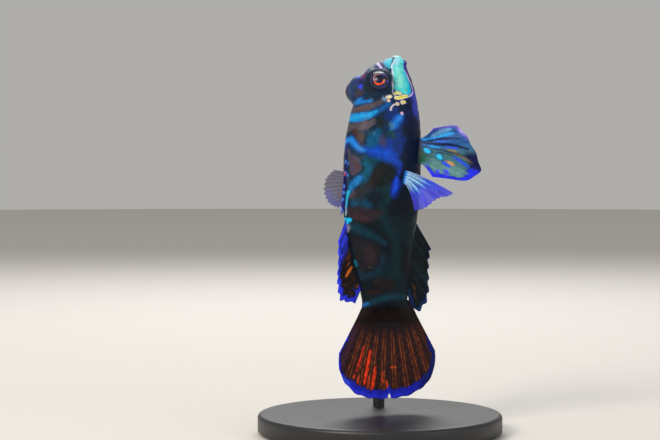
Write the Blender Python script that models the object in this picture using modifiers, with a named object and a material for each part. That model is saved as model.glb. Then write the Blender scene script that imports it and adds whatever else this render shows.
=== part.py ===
"""Mandarinfish, a still life-size model that hangs head up on a plain display stand.

Metres, +Z up. The origin is the middle of the underside of the stand's round base.
The back faces -X, the belly +X, and the right flank -Y. Lengths in the tables are millimetres.
"""

import math

import bmesh
import bpy
import numpy as np
from mathutils import Vector

MM = 0.001
NORMAL_STEP = 0.05
SHARP_ANGLE = math.radians(45.0)

# Gap between pieces that touch
GAP = 0.3

# Stand
BASE_RADIUS = 25.0
BASE_THICK = 4.0
BASE_BEVEL = 0.8
ROD_RADIUS = 1.2
ROD_SEAT_DEPTH = 2.5
ROD_STANDOFF = 8.6
ROD_X = 5.0
ROD_TOP = 39.0
ROD_BEND = 5.5
ROD_BEND_POINTS = 9
ROD_END = 1.2
BASE_SIDES = 48
ROD_SIDES = 16

# Heights above the floor at which the fish's lengths meet
CAUDAL_BASE = 26.0
STALK_TOP = 36.5
HEAD_CUT = 63.2

# Pose: the fore body leans back and away from the right flank, and the body twists along its length
LEAN_START = 42.0
LEAN_FULL = 72.0
HEAD_LEAN = math.radians(16.0)
LEAN_STEPS = 24
LEAN_HEADING = math.radians(60.0)
HEAD_TWIST = math.radians(8.0)
TAIL_TWIST = math.radians(-12.0)
TWIST_MIDDLE = 55.0

# Body sections: height, back line, belly line, half width, level of the greatest width
SECTIONS = (
    (77.9, -3.8, -4.9, 0.7, -4.3),
    (77.6, -3.1, -5.7, 1.3, -4.5),
    (77.2, -2.3, -6.2, 1.7, -4.6),
    (76.6, -1.0, -6.4, 2.0, -4.6),
    (75.7, 0.6, -6.3, 2.4, -4.3),
    (74.7, 2.2, -6.4, 3.0, -3.9),
    (73.0, 3.6, -6.9, 3.9, -3.5),
    (71.0, 4.3, -7.6, 4.7, -3.1),
    (68.8, 4.9, -8.1, 5.2, -2.7),
    (66.0, 5.9, -8.5, 5.7, -2.3),
    (62.0, 7.0, -8.9, 5.9, -1.8),
    (57.0, 7.8, -9.0, 5.7, -1.3),
    (51.0, 8.0, -8.8, 5.3, -0.9),
    (45.0, 7.9, -8.3, 4.7, -0.6),
    (40.0, 7.3, -7.5, 4.0, -0.5),
    (35.0, 6.0, -6.7, 3.3, -0.5),
    (30.0, 4.4, -6.2, 2.6, -0.8),
    (26.0, 3.8, -6.2, 2.1, -1.1),
    (22.0, 3.8, -6.2, 1.7, -1.1),
)
SQUARENESS = 2.15

# Rings of the loft: points across the back and across the rest, and the heights in the head
BODY_RING = (16, 16)
HEAD_RING = (34, 18)
UPPER_SPAN = math.radians(12.0)
SNOUT_ROWS = (77.9, 77.75, 77.4, 77.0, 76.4, 75.7, 75.0, 74.4, 73.9)
CHEEK_ROWS = (73.4, 66.4, -0.45)
NAPE_TOP = 66.0
TRUNK_ROWS = 16
STALK_ROWS = 8

# Eyes: centre in the head, ball, socket, and the raised skin of the orbit behind it
EYE_HEIGHT = 70.1
EYE_LEVEL = 3.1
EYE_SIDE = 3.65
EYE_RADIUS = 2.35
EYE_AIM = math.radians(38.0)
ORBIT_RADIUS = 3.2
ORBIT_SINK = 0.9
ORBIT_BLEND = 1.3
BALL_RINGS = (20, 12)

# Mouth: the wedge between the lips, as heights and levels, and the nostrils
MOUTH_GAPE = ((79.0, -4.5), (79.0, -5.7), (75.9, -5.2), (75.9, -5.0))
MOUTH_HALF_WIDTH = 4.0
NOSTRIL_HEIGHT = 74.6
NOSTRIL_ANGLE = math.radians(48.0)
NOSTRIL_RADIUS = 0.35


def smooth_table(height, column):
    """Value of one column of the section table at a height, on a smooth curve through the rows."""
    heights = [row[0] for row in SECTIONS][::-1]
    values = [row[column] for row in SECTIONS][::-1]
    slopes = np.gradient(values, heights)
    i = int(np.clip(np.searchsorted(heights, height) - 1, 0, len(heights) - 2))
    span = heights[i + 1] - heights[i]
    t = (height - heights[i]) / span
    a = values[i] * (2 * t**3 - 3 * t**2 + 1)
    b = slopes[i] * span * (t**3 - 2 * t**2 + t)
    c = values[i + 1] * (3 * t**2 - 2 * t**3)
    d = slopes[i + 1] * span * (t**3 - t**2)
    return a + b + c + d


def ease(t):
    """Smooth step from 0 to 1."""
    t = min(max(t, 0.0), 1.0)
    return t * t * (3.0 - 2.0 * t)


def lean(height):
    """Angle by which the body leans from the vertical at a height."""
    return HEAD_LEAN * ease((height - LEAN_START) / (LEAN_FULL - LEAN_START))


def twist(height):
    """Turn of the section about the body's length, relative to the trunk."""
    if height > TWIST_MIDDLE:
        return HEAD_TWIST * ease((height - TWIST_MIDDLE) / (EYE_HEIGHT - TWIST_MIDDLE))
    return TAIL_TWIST * ease((TWIST_MIDDLE - height) / (TWIST_MIDDLE - CAUDAL_BASE))


def frame_at(height):
    """Centre, forward, dorsal and right-hand directions of the body at a height."""
    rise = max(height - LEAN_START, 0.0) / LEAN_STEPS
    run = sum(math.tan(lean(LEAN_START + rise * (k + 0.5))) * rise for k in range(LEAN_STEPS))
    away = Vector((math.cos(LEAN_HEADING), math.sin(LEAN_HEADING), 0.0))
    centre = away * run + Vector((0.0, 0.0, height))
    forward = (away * math.sin(lean(height)) + Vector((0, 0, math.cos(lean(height))))).normalized()
    turn = twist(height)
    dorsal = Vector((-math.cos(turn), -math.sin(turn), 0.0))
    dorsal = (dorsal - forward * dorsal.dot(forward)).normalized()
    return centre, forward, dorsal, forward.cross(dorsal)


def place(height, side, level):
    """World point of a place in the fish: height of its section, side to the right, level to the back."""
    centre, forward, dorsal, right = frame_at(height)
    return centre + right * side + dorsal * level


def orbit_reach(height, angle, mid):
    """Distance from the section's middle to the raised skin round the eye on that side."""
    aim_side = math.cos(EYE_AIM)
    aim_level = math.sin(EYE_AIM)
    side = math.copysign(EYE_SIDE - ORBIT_SINK * aim_side, math.cos(angle))
    level = EYE_LEVEL - ORBIT_SINK * aim_level - mid
    square = ORBIT_RADIUS**2 - (height - EYE_HEIGHT) ** 2
    along = side * math.cos(angle) + level * math.sin(angle)
    rest = along**2 - (side**2 + level**2 - square)
    return along + math.copysign(math.sqrt(abs(rest)), rest)


def reach(height, angle):
    """Distance from the section's middle to the skin: angle 0 is the right flank, 90 degrees the back."""
    top, bottom, half, mid = (smooth_table(height, k) for k in (1, 2, 3, 4))
    rise = top - mid if math.sin(angle) > 0.0 else mid - bottom
    power = SQUARENESS
    inverse = abs(math.cos(angle) / half) ** power + abs(math.sin(angle) / rise) ** power
    body = inverse ** (-1.0 / power)
    orbit = orbit_reach(height, angle, mid)
    blend = max(ORBIT_BLEND - abs(body - orbit), 0.0) / ORBIT_BLEND
    return max(body, orbit) + blend**2 * ORBIT_BLEND / 4.0


def skin(height, angle, offset=0.0):
    """World point on the skin, or that far outside it."""
    far = reach(height, angle) + offset
    mid = smooth_table(height, 4)
    return place(height, far * math.cos(angle), mid + far * math.sin(angle))


def skin_normal(height, angle):
    """Outward normal of the skin."""
    step = NORMAL_STEP
    along = skin(height + step, angle) - skin(height - step, angle)
    around = skin(height, angle + step) - skin(height, angle - step)
    return along.cross(around).normalized()


def make_material(name, colour, roughness, metallic=0.0):
    """Principled material."""
    material = bpy.data.materials.new(name)
    material.use_nodes = True
    shader = material.node_tree.nodes["Principled BSDF"]
    shader.inputs["Base Color"].default_value = (*colour, 1.0)
    shader.inputs["Roughness"].default_value = roughness
    shader.inputs["Metallic"].default_value = metallic
    return material


def new_object(name, verts, faces, material, collection):
    """Mesh object from points in millimetres, with its faces turned outward."""
    mesh = bpy.data.meshes.new(name)
    mesh.from_pydata([Vector(v) * MM for v in verts], [], faces)
    work = bmesh.new()
    work.from_mesh(mesh)
    if work.calc_volume(signed=True) < 0.0:
        bmesh.ops.reverse_faces(work, faces=work.faces)
    work.to_mesh(mesh)
    work.free()
    if material:
        mesh.materials.append(material)
    body = bpy.data.objects.new(name, mesh)
    collection.objects.link(body)
    return body


def ring_angles(upper, lower):
    """Angles round a section: so many points across the upper part and so many across the rest."""
    start, stop = UPPER_SPAN, math.pi - UPPER_SPAN
    over = [start + (stop - start) * k / upper for k in range(upper)]
    under = [stop + (start + 2.0 * math.pi - stop) * k / lower for k in range(lower)]
    return over + under


def body_length(name, heights, angles, material, collection):
    """Closed length of the body, lofted through the sections at these heights."""
    verts = [skin(height, angle) for height in heights for angle in angles]
    count = len(angles)
    faces = []
    for ring in range(len(heights) - 1):
        for k in range(count):
            a = ring * count + k
            b = ring * count + (k + 1) % count
            faces.append((a, b, b + count, a + count))
    last = (len(heights) - 1) * count
    faces.append(tuple(reversed(range(count))))
    faces.append(tuple(range(last, last + count)))
    body = new_object(name, verts, faces, material, collection)
    body.data.shade_smooth()
    body.data.set_sharp_from_angle(angle=SHARP_ANGLE)
    return body


def eye_place(side, out=0.0):
    """Middle of an eyeball, or a point that far out along its aim. Side is 1 for right, -1 for left."""
    across = side * (EYE_SIDE + out * math.cos(EYE_AIM))
    return place(EYE_HEIGHT, across, EYE_LEVEL + out * math.sin(EYE_AIM))


def make_ball(name, centre, radius, collection, material=None):
    """UV sphere."""
    segments, rings = BALL_RINGS
    bpy.ops.mesh.primitive_uv_sphere_add(
        segments=segments, ring_count=rings, radius=radius * MM, location=centre * MM
    )
    ball = bpy.context.object
    ball.name = name
    for old in ball.users_collection:
        old.objects.unlink(ball)
    collection.objects.link(ball)
    ball.data.shade_smooth()
    if material:
        ball.data.materials.append(material)
    return ball


def make_block(name, outline, half_width, collection):
    """Closed plate across the fish from an outline of heights and levels."""
    verts = [place(height, side * half_width, level) for side in (1, -1) for height, level in outline]
    count = len(outline)
    faces = [tuple(range(count)), tuple(reversed(range(count, 2 * count)))]
    for k in range(count):
        n = (k + 1) % count
        faces.append((n, k, count + k, count + n))
    return new_object(name, verts, faces, None, collection)


def cut(body, cutter):
    """Boolean difference by a cutter."""
    modifier = body.modifiers.new("cut_" + cutter.name, "BOOLEAN")
    modifier.operation = "DIFFERENCE"
    modifier.object = cutter
    modifier.solver = "EXACT"
    cutter.hide_render = True
    cutter.display_type = "WIRE"


def keep_largest(body):
    """Apply the cuts and keep only the largest closed surface."""
    graph = bpy.context.evaluated_depsgraph_get()
    mesh = bpy.data.meshes.new_from_object(body.evaluated_get(graph))
    work = bmesh.new()
    work.from_mesh(mesh)
    left = set(work.faces)
    pieces = []
    while left:
        piece = {left.pop()}
        edge_of_piece = list(piece)
        while edge_of_piece:
            face = edge_of_piece.pop()
            for near in {f for e in face.edges for f in e.link_faces} & left:
                left.remove(near)
                piece.add(near)
                edge_of_piece.append(near)
        pieces.append(piece)
    pieces.sort(key=lambda piece: sum(face.calc_area() for face in piece))
    scraps = [face for piece in pieces[:-1] for face in piece]
    bmesh.ops.delete(work, geom=scraps, context="FACES")
    work.to_mesh(mesh)
    work.free()
    body.modifiers.clear()
    body.data = mesh


def fin_object(name, middle, sizes, material, collection):
    """Closed fin with its rays raised on both faces.

    middle(u, t) is the fin's middle surface, u the ray number and t the way from root to edge.
    """
    rays, rows = sizes["rays"], sizes["rows"]
    root_half, membrane_half, edge_half = sizes["half"]
    columns = [ray + share for ray in range(rays - 1) for share in RAY_SHARES] + [rays - 1.0]
    grid = np.zeros((len(columns), rows, 3))
    normal = np.zeros((len(columns), rows, 3))
    half = np.zeros((len(columns), rows))
    for c, u in enumerate(columns):
        share = u - math.floor(u)
        trim = 1.0 - sizes["dip"] * math.sin(math.pi * share)
        for r in range(rows):
            t = r / (rows - 1)
            grid[c, r] = middle(u, t * trim)
            before, after = max(u - FIN_STEP, 0.0), min(u + FIN_STEP, rays - 1.0)
            across = middle(after, t * trim) - middle(before, t * trim)
            along = middle(u, t * trim + FIN_STEP) - middle(u, t * trim - FIN_STEP)
            normal[c, r] = across.cross(along).normalized()
            base = root_half + (membrane_half - root_half) * ease(t / ROOT_PART)
            base += (edge_half - membrane_half) * ease((t - 1.0 + EDGE_PART) / EDGE_PART)
            ridge = sizes["ridge"] * (1.0 - RIDGE_TAPER * t)
            half[c, r] = base + (ridge if share == 0.0 else 0.0)
    upper = (grid + normal * half[:, :, None]).reshape(-1, 3)
    lower = (grid - normal * half[:, :, None]).reshape(-1, 3)
    count = len(upper)
    faces = []
    for c in range(len(columns) - 1):
        for r in range(rows - 1):
            a, b = c * rows + r, (c + 1) * rows + r
            faces.append((a, b, b + 1))
            faces.append((a, b + 1, a + 1))
            faces.append((count + a, count + b + 1, count + b))
            faces.append((count + a, count + a + 1, count + b + 1))
    rim = [c * rows for c in range(len(columns))]
    rim += [(len(columns) - 1) * rows + r for r in range(1, rows)]
    rim += [c * rows + rows - 1 for c in range(len(columns) - 2, -1, -1)]
    rim += [r for r in range(rows - 2, 0, -1)]
    for i, a in enumerate(rim):
        b = rim[(i + 1) % len(rim)]
        faces.append((b, a, count + a))
        faces.append((b, count + a, count + b))
    fin = new_object(name, np.vstack([upper, lower]), faces, material, collection)
    fin.data.shade_smooth()
    fin.data.set_sharp_from_angle(angle=SHARP_ANGLE)
    return fin


def curve_value(stops, u):
    """Smooth value at ray u of a row of stops spread evenly over the rays of a fin."""
    places = np.arange(len(stops))
    slopes = np.gradient(np.array(stops, dtype=float))
    i = int(np.clip(math.floor(u), 0, len(places) - 2))
    t = u - i
    a = stops[i] * (2 * t**3 - 3 * t**2 + 1) + slopes[i] * (t**3 - 2 * t**2 + t)
    return a + stops[i + 1] * (3 * t**2 - 2 * t**3) + slopes[i + 1] * (t**3 - t**2)


# Fins. half: half thicknesses at the root, of the membrane and at the edge; ridge: height of a
# ray's ridge; dip: how deep the edge dips between two rays, as a share of the ray. FIN_STEP is
# the step in rays and in shares of a ray over which a fin's slope is measured
RAY_SHARES = (0.0, 0.22, 0.5, 0.78)
ROOT_PART = 0.3
EDGE_PART = 0.35
RIDGE_TAPER = 0.6
FIN_STEP = 0.01

# Fins along the back and belly: heights of the first and last ray, each ray's length and rise
FIRST_DORSAL = {
    "rays": 4, "rows": 9, "half": (0.3, 0.26, 0.15), "ridge": 0.15, "dip": 0.06,
    "front": 58.4, "back": 51.6, "side": 1,
    "length": (14.0, 11.4, 8.8, 6.2),
    "rise": (4.2, 3.6, 2.9, 2.0),
}
SECOND_DORSAL = {
    "rays": 9, "rows": 7, "half": (0.35, 0.25, 0.15), "ridge": 0.18, "dip": 0.08,
    "front": 43.5, "back": 29.4, "side": 1,
    "length": (4.6, 5.1, 5.5, 6.0, 6.3, 6.5, 6.6, 5.0, 3.0),
    "rise": (19, 19.6, 21.3, 24, 26.7, 28.9, 30, 32, 21.5),
}
ANAL = {
    "rays": 8, "rows": 7, "half": (0.35, 0.25, 0.15), "ridge": 0.18, "dip": 0.08,
    "front": 43.2, "back": 28.8, "side": -1,
    "length": (6.8, 6.45, 6.5, 6.8, 7.35, 7.5, 6.75, 3.3),
    "rise": (30, 32.5, 34.3, 34.4, 33, 30, 22, 10),
}


def median_fin(sizes, follow=0.0):
    """Middle surface of a fin on the midline, swept back by each ray's length and rise.

    follow is 1 for a fin that is folded down, whose rays keep to the line of the body.
    """
    side = sizes["side"]

    def middle(u, t):
        share = u / (sizes["rays"] - 1)
        height = sizes["front"] + (sizes["back"] - sizes["front"]) * share
        length = curve_value(sizes["length"], u)
        rise = math.radians(curve_value(sizes["rise"], u))
        column = 1 if side > 0 else 2
        lift = length * t * math.sin(rise)
        back = length * t * math.cos(rise)
        level = smooth_table(height - follow * back, column) + side * GAP
        return place(height - back, 0.0, level + side * lift)

    return middle


# Tail fin: the fan's half angle and lean, the middle ray, and how the outer rays shorten
CAUDAL = {"rays": 11, "rows": 8, "half": (0.9, 0.27, 0.15), "ridge": 0.2, "dip": 0.03}
CAUDAL_FAN = math.radians(28.3)
CAUDAL_LENGTH = 18.9
CAUDAL_EDGE_CUT = 0.44
CAUDAL_ROUNDNESS = 3.2
CAUDAL_MID = -1.6
CAUDAL_ROOT_HALF = 5.4


def caudal_middle(u, t):
    """Middle surface of the rounded tail fin."""
    share = 1.0 - u / (CAUDAL["rays"] - 1) * 2.0
    angle = share * CAUDAL_FAN
    length = CAUDAL_LENGTH * (1.0 - CAUDAL_EDGE_CUT * abs(share) ** CAUDAL_ROUNDNESS)
    height = CAUDAL_BASE - GAP - length * t * math.cos(angle)
    level = CAUDAL_MID + share * CAUDAL_ROOT_HALF + length * t * math.sin(angle)
    return place(height, 0.0, level)


# Paired fins: the root on the flank, and ray tips as offsets to the side, to the back and forward
PECTORAL = {
    "rays": 12, "rows": 6, "half": (0.35, 0.25, 0.15), "ridge": 0.15, "dip": 0.02,
    "height": 52.1, "angle": math.radians(-14.0), "spread": 1.1,
}
PECTORAL_RIGHT = (
    (8.0, -6.8, -4.8),
    (8.0, -5.5, -4.7),
    (7.5, -3.3, -4.8),
    (6.5, -1.2, -5.9),
    (5.0, 0.2, -6.1),
)
PECTORAL_LEFT = (
    (9.0, 5.1, 1.4),
    (10.5, 6.1, 0.1),
    (10.5, 6.6, -2.1),
    (9.5, 6.0, -4.1),
    (8.0, 4.7, -4.7),
)
PELVIC = {
    "rays": 7, "rows": 8, "half": (0.4, 0.26, 0.15), "ridge": 0.25, "dip": 0.05,
    "height": 57.6, "angle": math.radians(-50.0), "spread": 2.4,
}
PELVIC_TIPS = (
    (4.0, -0.8, 1.9),
    (7.0, -4.3, 2.9),
    (8.5, -6.0, 1.4),
    (9.0, -8.0, -1.0),
    (9.0, -9.2, -3.8),
    (7.0, -6.8, -4.9),
    (2.5, -1.8, -3.1),
)
ROOT_RISE = 0.3


def paired_fin(sizes, tips, side):
    """Middle surface of a fan that leaves the flank squarely and bends over along its rays."""

    def middle(u, t):
        share = u / (sizes["rays"] - 1)
        stop = share * (len(tips) - 1)
        out, back, fore = (curve_value([tip[k] for tip in tips], stop) for k in range(3))
        height = sizes["height"] + sizes["spread"] * (1.0 - 2.0 * share)
        angle = sizes["angle"] if side > 0 else math.pi - sizes["angle"]
        start = skin(height, angle, GAP)
        _, forward, dorsal, right = frame_at(sizes["height"])
        end = start + right * (side * out) + dorsal * back + forward * fore
        knee = start + skin_normal(height, angle) * ((end - start).length * ROOT_RISE)
        return start * (1 - t) ** 2 + knee * (2 * t * (1 - t)) + end * t**2

    return middle


def make_stand(collection, cutters):
    """Round base with a seat for the rod, and the rod that bends in to the left flank."""
    metal = make_material("stand_metal", (0.03, 0.03, 0.032), 0.42)
    bpy.ops.mesh.primitive_cylinder_add(
        vertices=BASE_SIDES,
        radius=BASE_RADIUS * MM,
        depth=BASE_THICK * MM,
        location=(0, 0, BASE_THICK / 2 * MM),
    )
    base = bpy.context.object
    base.name = "stand_base"
    for old in base.users_collection:
        old.objects.unlink(base)
    collection.objects.link(base)
    base.data.materials.append(metal)
    bevel = base.modifiers.new("rounded_edges", "BEVEL")
    bevel.width = BASE_BEVEL * MM
    bevel.segments = 2
    bevel.limit_method = "ANGLE"

    rod_foot = Vector((ROD_X, ROD_STANDOFF, BASE_THICK - ROD_SEAT_DEPTH + GAP))
    bpy.ops.mesh.primitive_cylinder_add(
        vertices=ROD_SIDES,
        radius=(ROD_RADIUS + GAP) * MM,
        depth=2 * ROD_SEAT_DEPTH * MM,
        location=Vector((ROD_X, ROD_STANDOFF, BASE_THICK)) * MM,
    )
    seat = bpy.context.object
    seat.name = "rod_seat"
    for old in seat.users_collection:
        old.objects.unlink(seat)
    cutters.objects.link(seat)
    cut(base, seat)

    end = skin(ROD_TOP, math.pi, GAP)
    arrive = end + skin_normal(ROD_TOP, math.pi) * ROD_END
    bend_start = Vector((ROD_X, ROD_STANDOFF, end.z - ROD_BEND))
    corner = Vector((ROD_X, ROD_STANDOFF, arrive.z))
    points = [rod_foot, bend_start]
    for k in range(1, ROD_BEND_POINTS):
        t = k / ROD_BEND_POINTS
        points.append(bend_start * (1 - t) ** 2 + corner * (2 * t * (1 - t)) + arrive * t**2)
    points += [arrive, end]
    data = bpy.data.curves.new("stand_rod", "CURVE")
    data.dimensions = "3D"
    data.bevel_depth = ROD_RADIUS * MM
    data.bevel_resolution = 3
    data.use_fill_caps = True
    spline = data.splines.new("POLY")
    spline.points.add(len(points) - 1)
    for target, point in zip(spline.points, points):
        target.co = (*(point * MM), 1.0)
    data.materials.append(metal)
    rod = bpy.data.objects.new("stand_rod", data)
    collection.objects.link(rod)


def main():
    """Build every node."""
    for old in list(bpy.data.objects):
        bpy.data.objects.remove(old, do_unlink=True)
    collection = bpy.data.collections.new("mandarinfish")
    cutters = bpy.data.collections.new("cutters")
    bpy.context.scene.collection.children.link(collection)
    bpy.context.scene.collection.children.link(cutters)

    body_skin = make_material("body_skin", (0.02, 0.09, 0.28), 0.3)
    fin_skin = make_material("fin_skin", (0.02, 0.05, 0.35), 0.35)
    tail_skin = make_material("tail_fin_skin", (0.28, 0.05, 0.02), 0.4)
    eye_wet = make_material("eye_wet", (0.01, 0.02, 0.08), 0.08)

    nape = np.linspace(NAPE_TOP, HEAD_CUT + GAP / 2, 3)
    head_rows = [*SNOUT_ROWS, *np.arange(*CHEEK_ROWS), *nape]
    head = body_length("head", head_rows, ring_angles(*HEAD_RING), body_skin, collection)
    trunk_rows = np.linspace(HEAD_CUT - GAP / 2, STALK_TOP + GAP / 2, TRUNK_ROWS)
    body_length("trunk", trunk_rows, ring_angles(*BODY_RING), body_skin, collection)
    stalk_rows = np.linspace(STALK_TOP - GAP / 2, CAUDAL_BASE, STALK_ROWS)
    body_length("tail_stalk", stalk_rows, ring_angles(*BODY_RING), body_skin, collection)

    for name, side in (("eye_right", 1), ("eye_left", -1)):
        make_ball(name, eye_place(side), EYE_RADIUS, collection, eye_wet)
        cut(head, make_ball("socket_" + name, eye_place(side), EYE_RADIUS + GAP, cutters))

    cut(head, make_block("gape", MOUTH_GAPE, MOUTH_HALF_WIDTH, cutters))
    for name, side in (("right", 1), ("left", -1)):
        angle = NOSTRIL_ANGLE if side > 0 else math.pi - NOSTRIL_ANGLE
        centre = skin(NOSTRIL_HEIGHT, angle)
        cut(head, make_ball("nostril_" + name, centre, NOSTRIL_RADIUS, cutters))
    keep_largest(head)

    folded = median_fin(FIRST_DORSAL, follow=1.0)
    fin_object("first_dorsal_fin", folded, FIRST_DORSAL, fin_skin, collection)
    fin_object("second_dorsal_fin", median_fin(SECOND_DORSAL), SECOND_DORSAL, fin_skin, collection)
    fin_object("anal_fin", median_fin(ANAL), ANAL, fin_skin, collection)
    fin_object("caudal_fin", caudal_middle, CAUDAL, tail_skin, collection)
    for name, tips, side in (("right", PECTORAL_RIGHT, 1), ("left", PECTORAL_LEFT, -1)):
        middle = paired_fin(PECTORAL, tips, side)
        fin_object("pectoral_fin_" + name, middle, PECTORAL, fin_skin, collection)
        middle = paired_fin(PELVIC, PELVIC_TIPS, side)
        fin_object("pelvic_fin_" + name, middle, PELVIC, fin_skin, collection)
    make_stand(collection, cutters)


main()
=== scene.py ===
# %% [markdown]
# # A mandarinfish, as a still model on a stand
#
# The mandarinfish is a small reef fish, about 7 cm long. It has no scales: a thick layer of
# slime covers its skin, and the blue bands that run over the brown are pigment in the skin.
# The model shows it as it swims head up, its fins spread, and a rod from a round base holds it.
#
# The solids of the model are loaded first. They give the place and size of every part, and the
# finer skin, fins and eyes below are built around the same numbers.

import math

import bmesh
import bpy
import numpy as np
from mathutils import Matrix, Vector


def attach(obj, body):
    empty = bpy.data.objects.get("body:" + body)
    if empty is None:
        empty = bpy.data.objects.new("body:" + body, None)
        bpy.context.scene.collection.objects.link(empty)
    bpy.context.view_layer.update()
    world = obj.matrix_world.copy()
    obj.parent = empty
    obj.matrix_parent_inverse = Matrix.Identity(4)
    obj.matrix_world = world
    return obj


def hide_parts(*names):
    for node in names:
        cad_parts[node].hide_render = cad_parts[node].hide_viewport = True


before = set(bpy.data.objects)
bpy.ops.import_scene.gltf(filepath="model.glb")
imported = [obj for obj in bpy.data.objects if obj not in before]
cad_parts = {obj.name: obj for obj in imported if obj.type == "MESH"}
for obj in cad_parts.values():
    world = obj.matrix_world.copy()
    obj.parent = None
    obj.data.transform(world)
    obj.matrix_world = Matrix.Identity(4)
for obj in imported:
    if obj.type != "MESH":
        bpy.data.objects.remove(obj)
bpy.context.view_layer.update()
print("solids:", sorted(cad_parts))

# %% [markdown]
# ## Numbers of the fish
#
# Every length in the tables is in millimetres, because the fish is small, and is turned to
# metres when a mesh is made. Heights are above the floor. The back faces -X, the belly +X, and
# the right flank -Y. A section of the body is a rounded shape given by its back line, its belly
# line, its half width, and the level at which it is widest. The last rows thin out over the root
# of the tail fin, as the flesh does on the fish.

# %% Sizes of the body
MM = 0.001

SECTIONS = np.array((
    (77.9, -3.8, -4.9, 0.7, -4.3),
    (77.6, -3.1, -5.7, 1.3, -4.5),
    (77.2, -2.3, -6.2, 1.7, -4.6),
    (76.6, -1.0, -6.4, 2.0, -4.6),
    (75.7, 0.6, -6.3, 2.4, -4.3),
    (74.7, 2.2, -6.4, 3.0, -3.9),
    (73.0, 3.6, -6.9, 3.9, -3.5),
    (71.0, 4.3, -7.6, 4.7, -3.1),
    (68.8, 4.9, -8.1, 5.2, -2.7),
    (66.0, 5.9, -8.5, 5.7, -2.3),
    (62.0, 7.0, -8.9, 5.9, -1.8),
    (57.0, 7.8, -9.0, 5.7, -1.3),
    (51.0, 8.0, -8.8, 5.3, -0.9),
    (45.0, 7.9, -8.3, 4.7, -0.6),
    (40.0, 7.3, -7.5, 4.0, -0.5),
    (35.0, 6.0, -6.7, 3.3, -0.5),
    (30.0, 4.4, -6.2, 2.6, -0.8),
    (26.0, 3.8, -6.2, 2.0, -1.1),
    (25.0, 3.9, -6.9, 1.4, -1.4),
    (24.0, 4.4, -7.4, 0.9, -1.5),
    (23.0, 4.9, -7.9, 0.42, -1.6),
    (22.2, 5.2, -8.2, 0.08, -1.6),
))
SNOUT_HEIGHT = SECTIONS[0, 0]
SQUARENESS = 2.15

# Pose: the fore body leans back, and the body twists a little along its length
LEAN_START, LEAN_FULL = 42.0, 72.0
HEAD_LEAN = math.radians(16.0)
LEAN_STEPS = 24
LEAN_HEADING = math.radians(60.0)
HEAD_TWIST = math.radians(8.0)
TAIL_TWIST = math.radians(-12.0)
TWIST_MIDDLE = 55.0
CAUDAL_BASE = 26.0

# Eyes, and the raised skin round them
EYE_HEIGHT, EYE_LEVEL, EYE_SIDE = 70.1, 3.1, 3.65
EYE_RADIUS = 2.35
EYE_AIM = math.radians(38.0)
ORBIT_RADIUS, ORBIT_SINK, ORBIT_BLEND = 3.2, 0.9, 1.3


# %% [markdown]
# ## Points on the body
#
# A fish bends along its spine, so a point of the skin is given by the height of its section, its
# angle round the section and its distance from the middle. Bones could bend a finished mesh, but
# this model has one pose, so the lean and the twist go straight into the rule for a point.

# %% Points on the body
def hermite(places, values, at):
    """Smooth curve through values at rising places, read at any place or array of places."""
    slopes = np.gradient(values, places)
    i = np.clip(np.searchsorted(places, at) - 1, 0, len(places) - 2)
    span = places[i + 1] - places[i]
    t = (at - places[i]) / span
    start = values[i] * (2 * t**3 - 3 * t**2 + 1) + slopes[i] * span * (t**3 - 2 * t**2 + t)
    return start + values[i + 1] * (3 * t**2 - 2 * t**3) + slopes[i + 1] * span * (t**3 - t**2)


def section(height, column):
    """One column of the section table at a height: 1 back, 2 belly, 3 half width, 4 widest level."""
    return hermite(SECTIONS[::-1, 0], SECTIONS[::-1, column], np.asarray(height, dtype=float))


def ease(t):
    """Smooth step from 0 to 1."""
    t = np.clip(t, 0.0, 1.0)
    return t * t * (3.0 - 2.0 * t)


def unit(vectors):
    """Vectors at length one."""
    return vectors / np.linalg.norm(vectors, axis=-1, keepdims=True)


def body_frame(height):
    """Centre line, forward, dorsal and right-hand directions of the body at heights."""
    height = np.asarray(height, dtype=float)
    rise = np.maximum(height - LEAN_START, 0.0) / LEAN_STEPS
    run = np.zeros(height.shape)
    for k in range(LEAN_STEPS):
        level = LEAN_START + rise * (k + 0.5)
        run += np.tan(HEAD_LEAN * ease((level - LEAN_START) / (LEAN_FULL - LEAN_START))) * rise
    tilt = HEAD_LEAN * ease((height - LEAN_START) / (LEAN_FULL - LEAN_START))
    heading = np.array((math.cos(LEAN_HEADING), math.sin(LEAN_HEADING), 0.0))
    up = np.array((0.0, 0.0, 1.0))
    centre = heading * run[..., None] + up * height[..., None]
    forward = unit(heading * np.sin(tilt)[..., None] + up * np.cos(tilt)[..., None])
    fore = HEAD_TWIST * ease((height - TWIST_MIDDLE) / (EYE_HEIGHT - TWIST_MIDDLE))
    aft = TAIL_TWIST * ease((TWIST_MIDDLE - height) / (TWIST_MIDDLE - CAUDAL_BASE))
    turn = fore + aft
    dorsal = np.stack((-np.cos(turn), -np.sin(turn), np.zeros(turn.shape)), axis=-1)
    dorsal = unit(dorsal - forward * np.sum(dorsal * forward, axis=-1, keepdims=True))
    return centre, forward, dorsal, np.cross(forward, dorsal)


def place(height, side, level):
    """Point in the fish: height of its section, distance to the right, level towards the back."""
    values = (np.asarray(v, dtype=float) for v in (height, side, level))
    height, side, level = np.broadcast_arrays(*values)
    centre, _, dorsal, right = body_frame(height)
    return centre + right * side[..., None] + dorsal * level[..., None]


def orbit_reach(height, angle, mid):
    """Distance from the section's middle to the raised skin round the eye on that side."""
    side = np.copysign(EYE_SIDE - ORBIT_SINK * math.cos(EYE_AIM), np.cos(angle))
    level = EYE_LEVEL - ORBIT_SINK * math.sin(EYE_AIM) - mid
    square = ORBIT_RADIUS**2 - (height - EYE_HEIGHT) ** 2
    along = side * np.cos(angle) + level * np.sin(angle)
    rest = along**2 - (side**2 + level**2 - square)
    return along + np.copysign(np.sqrt(np.abs(rest)), rest)


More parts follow.
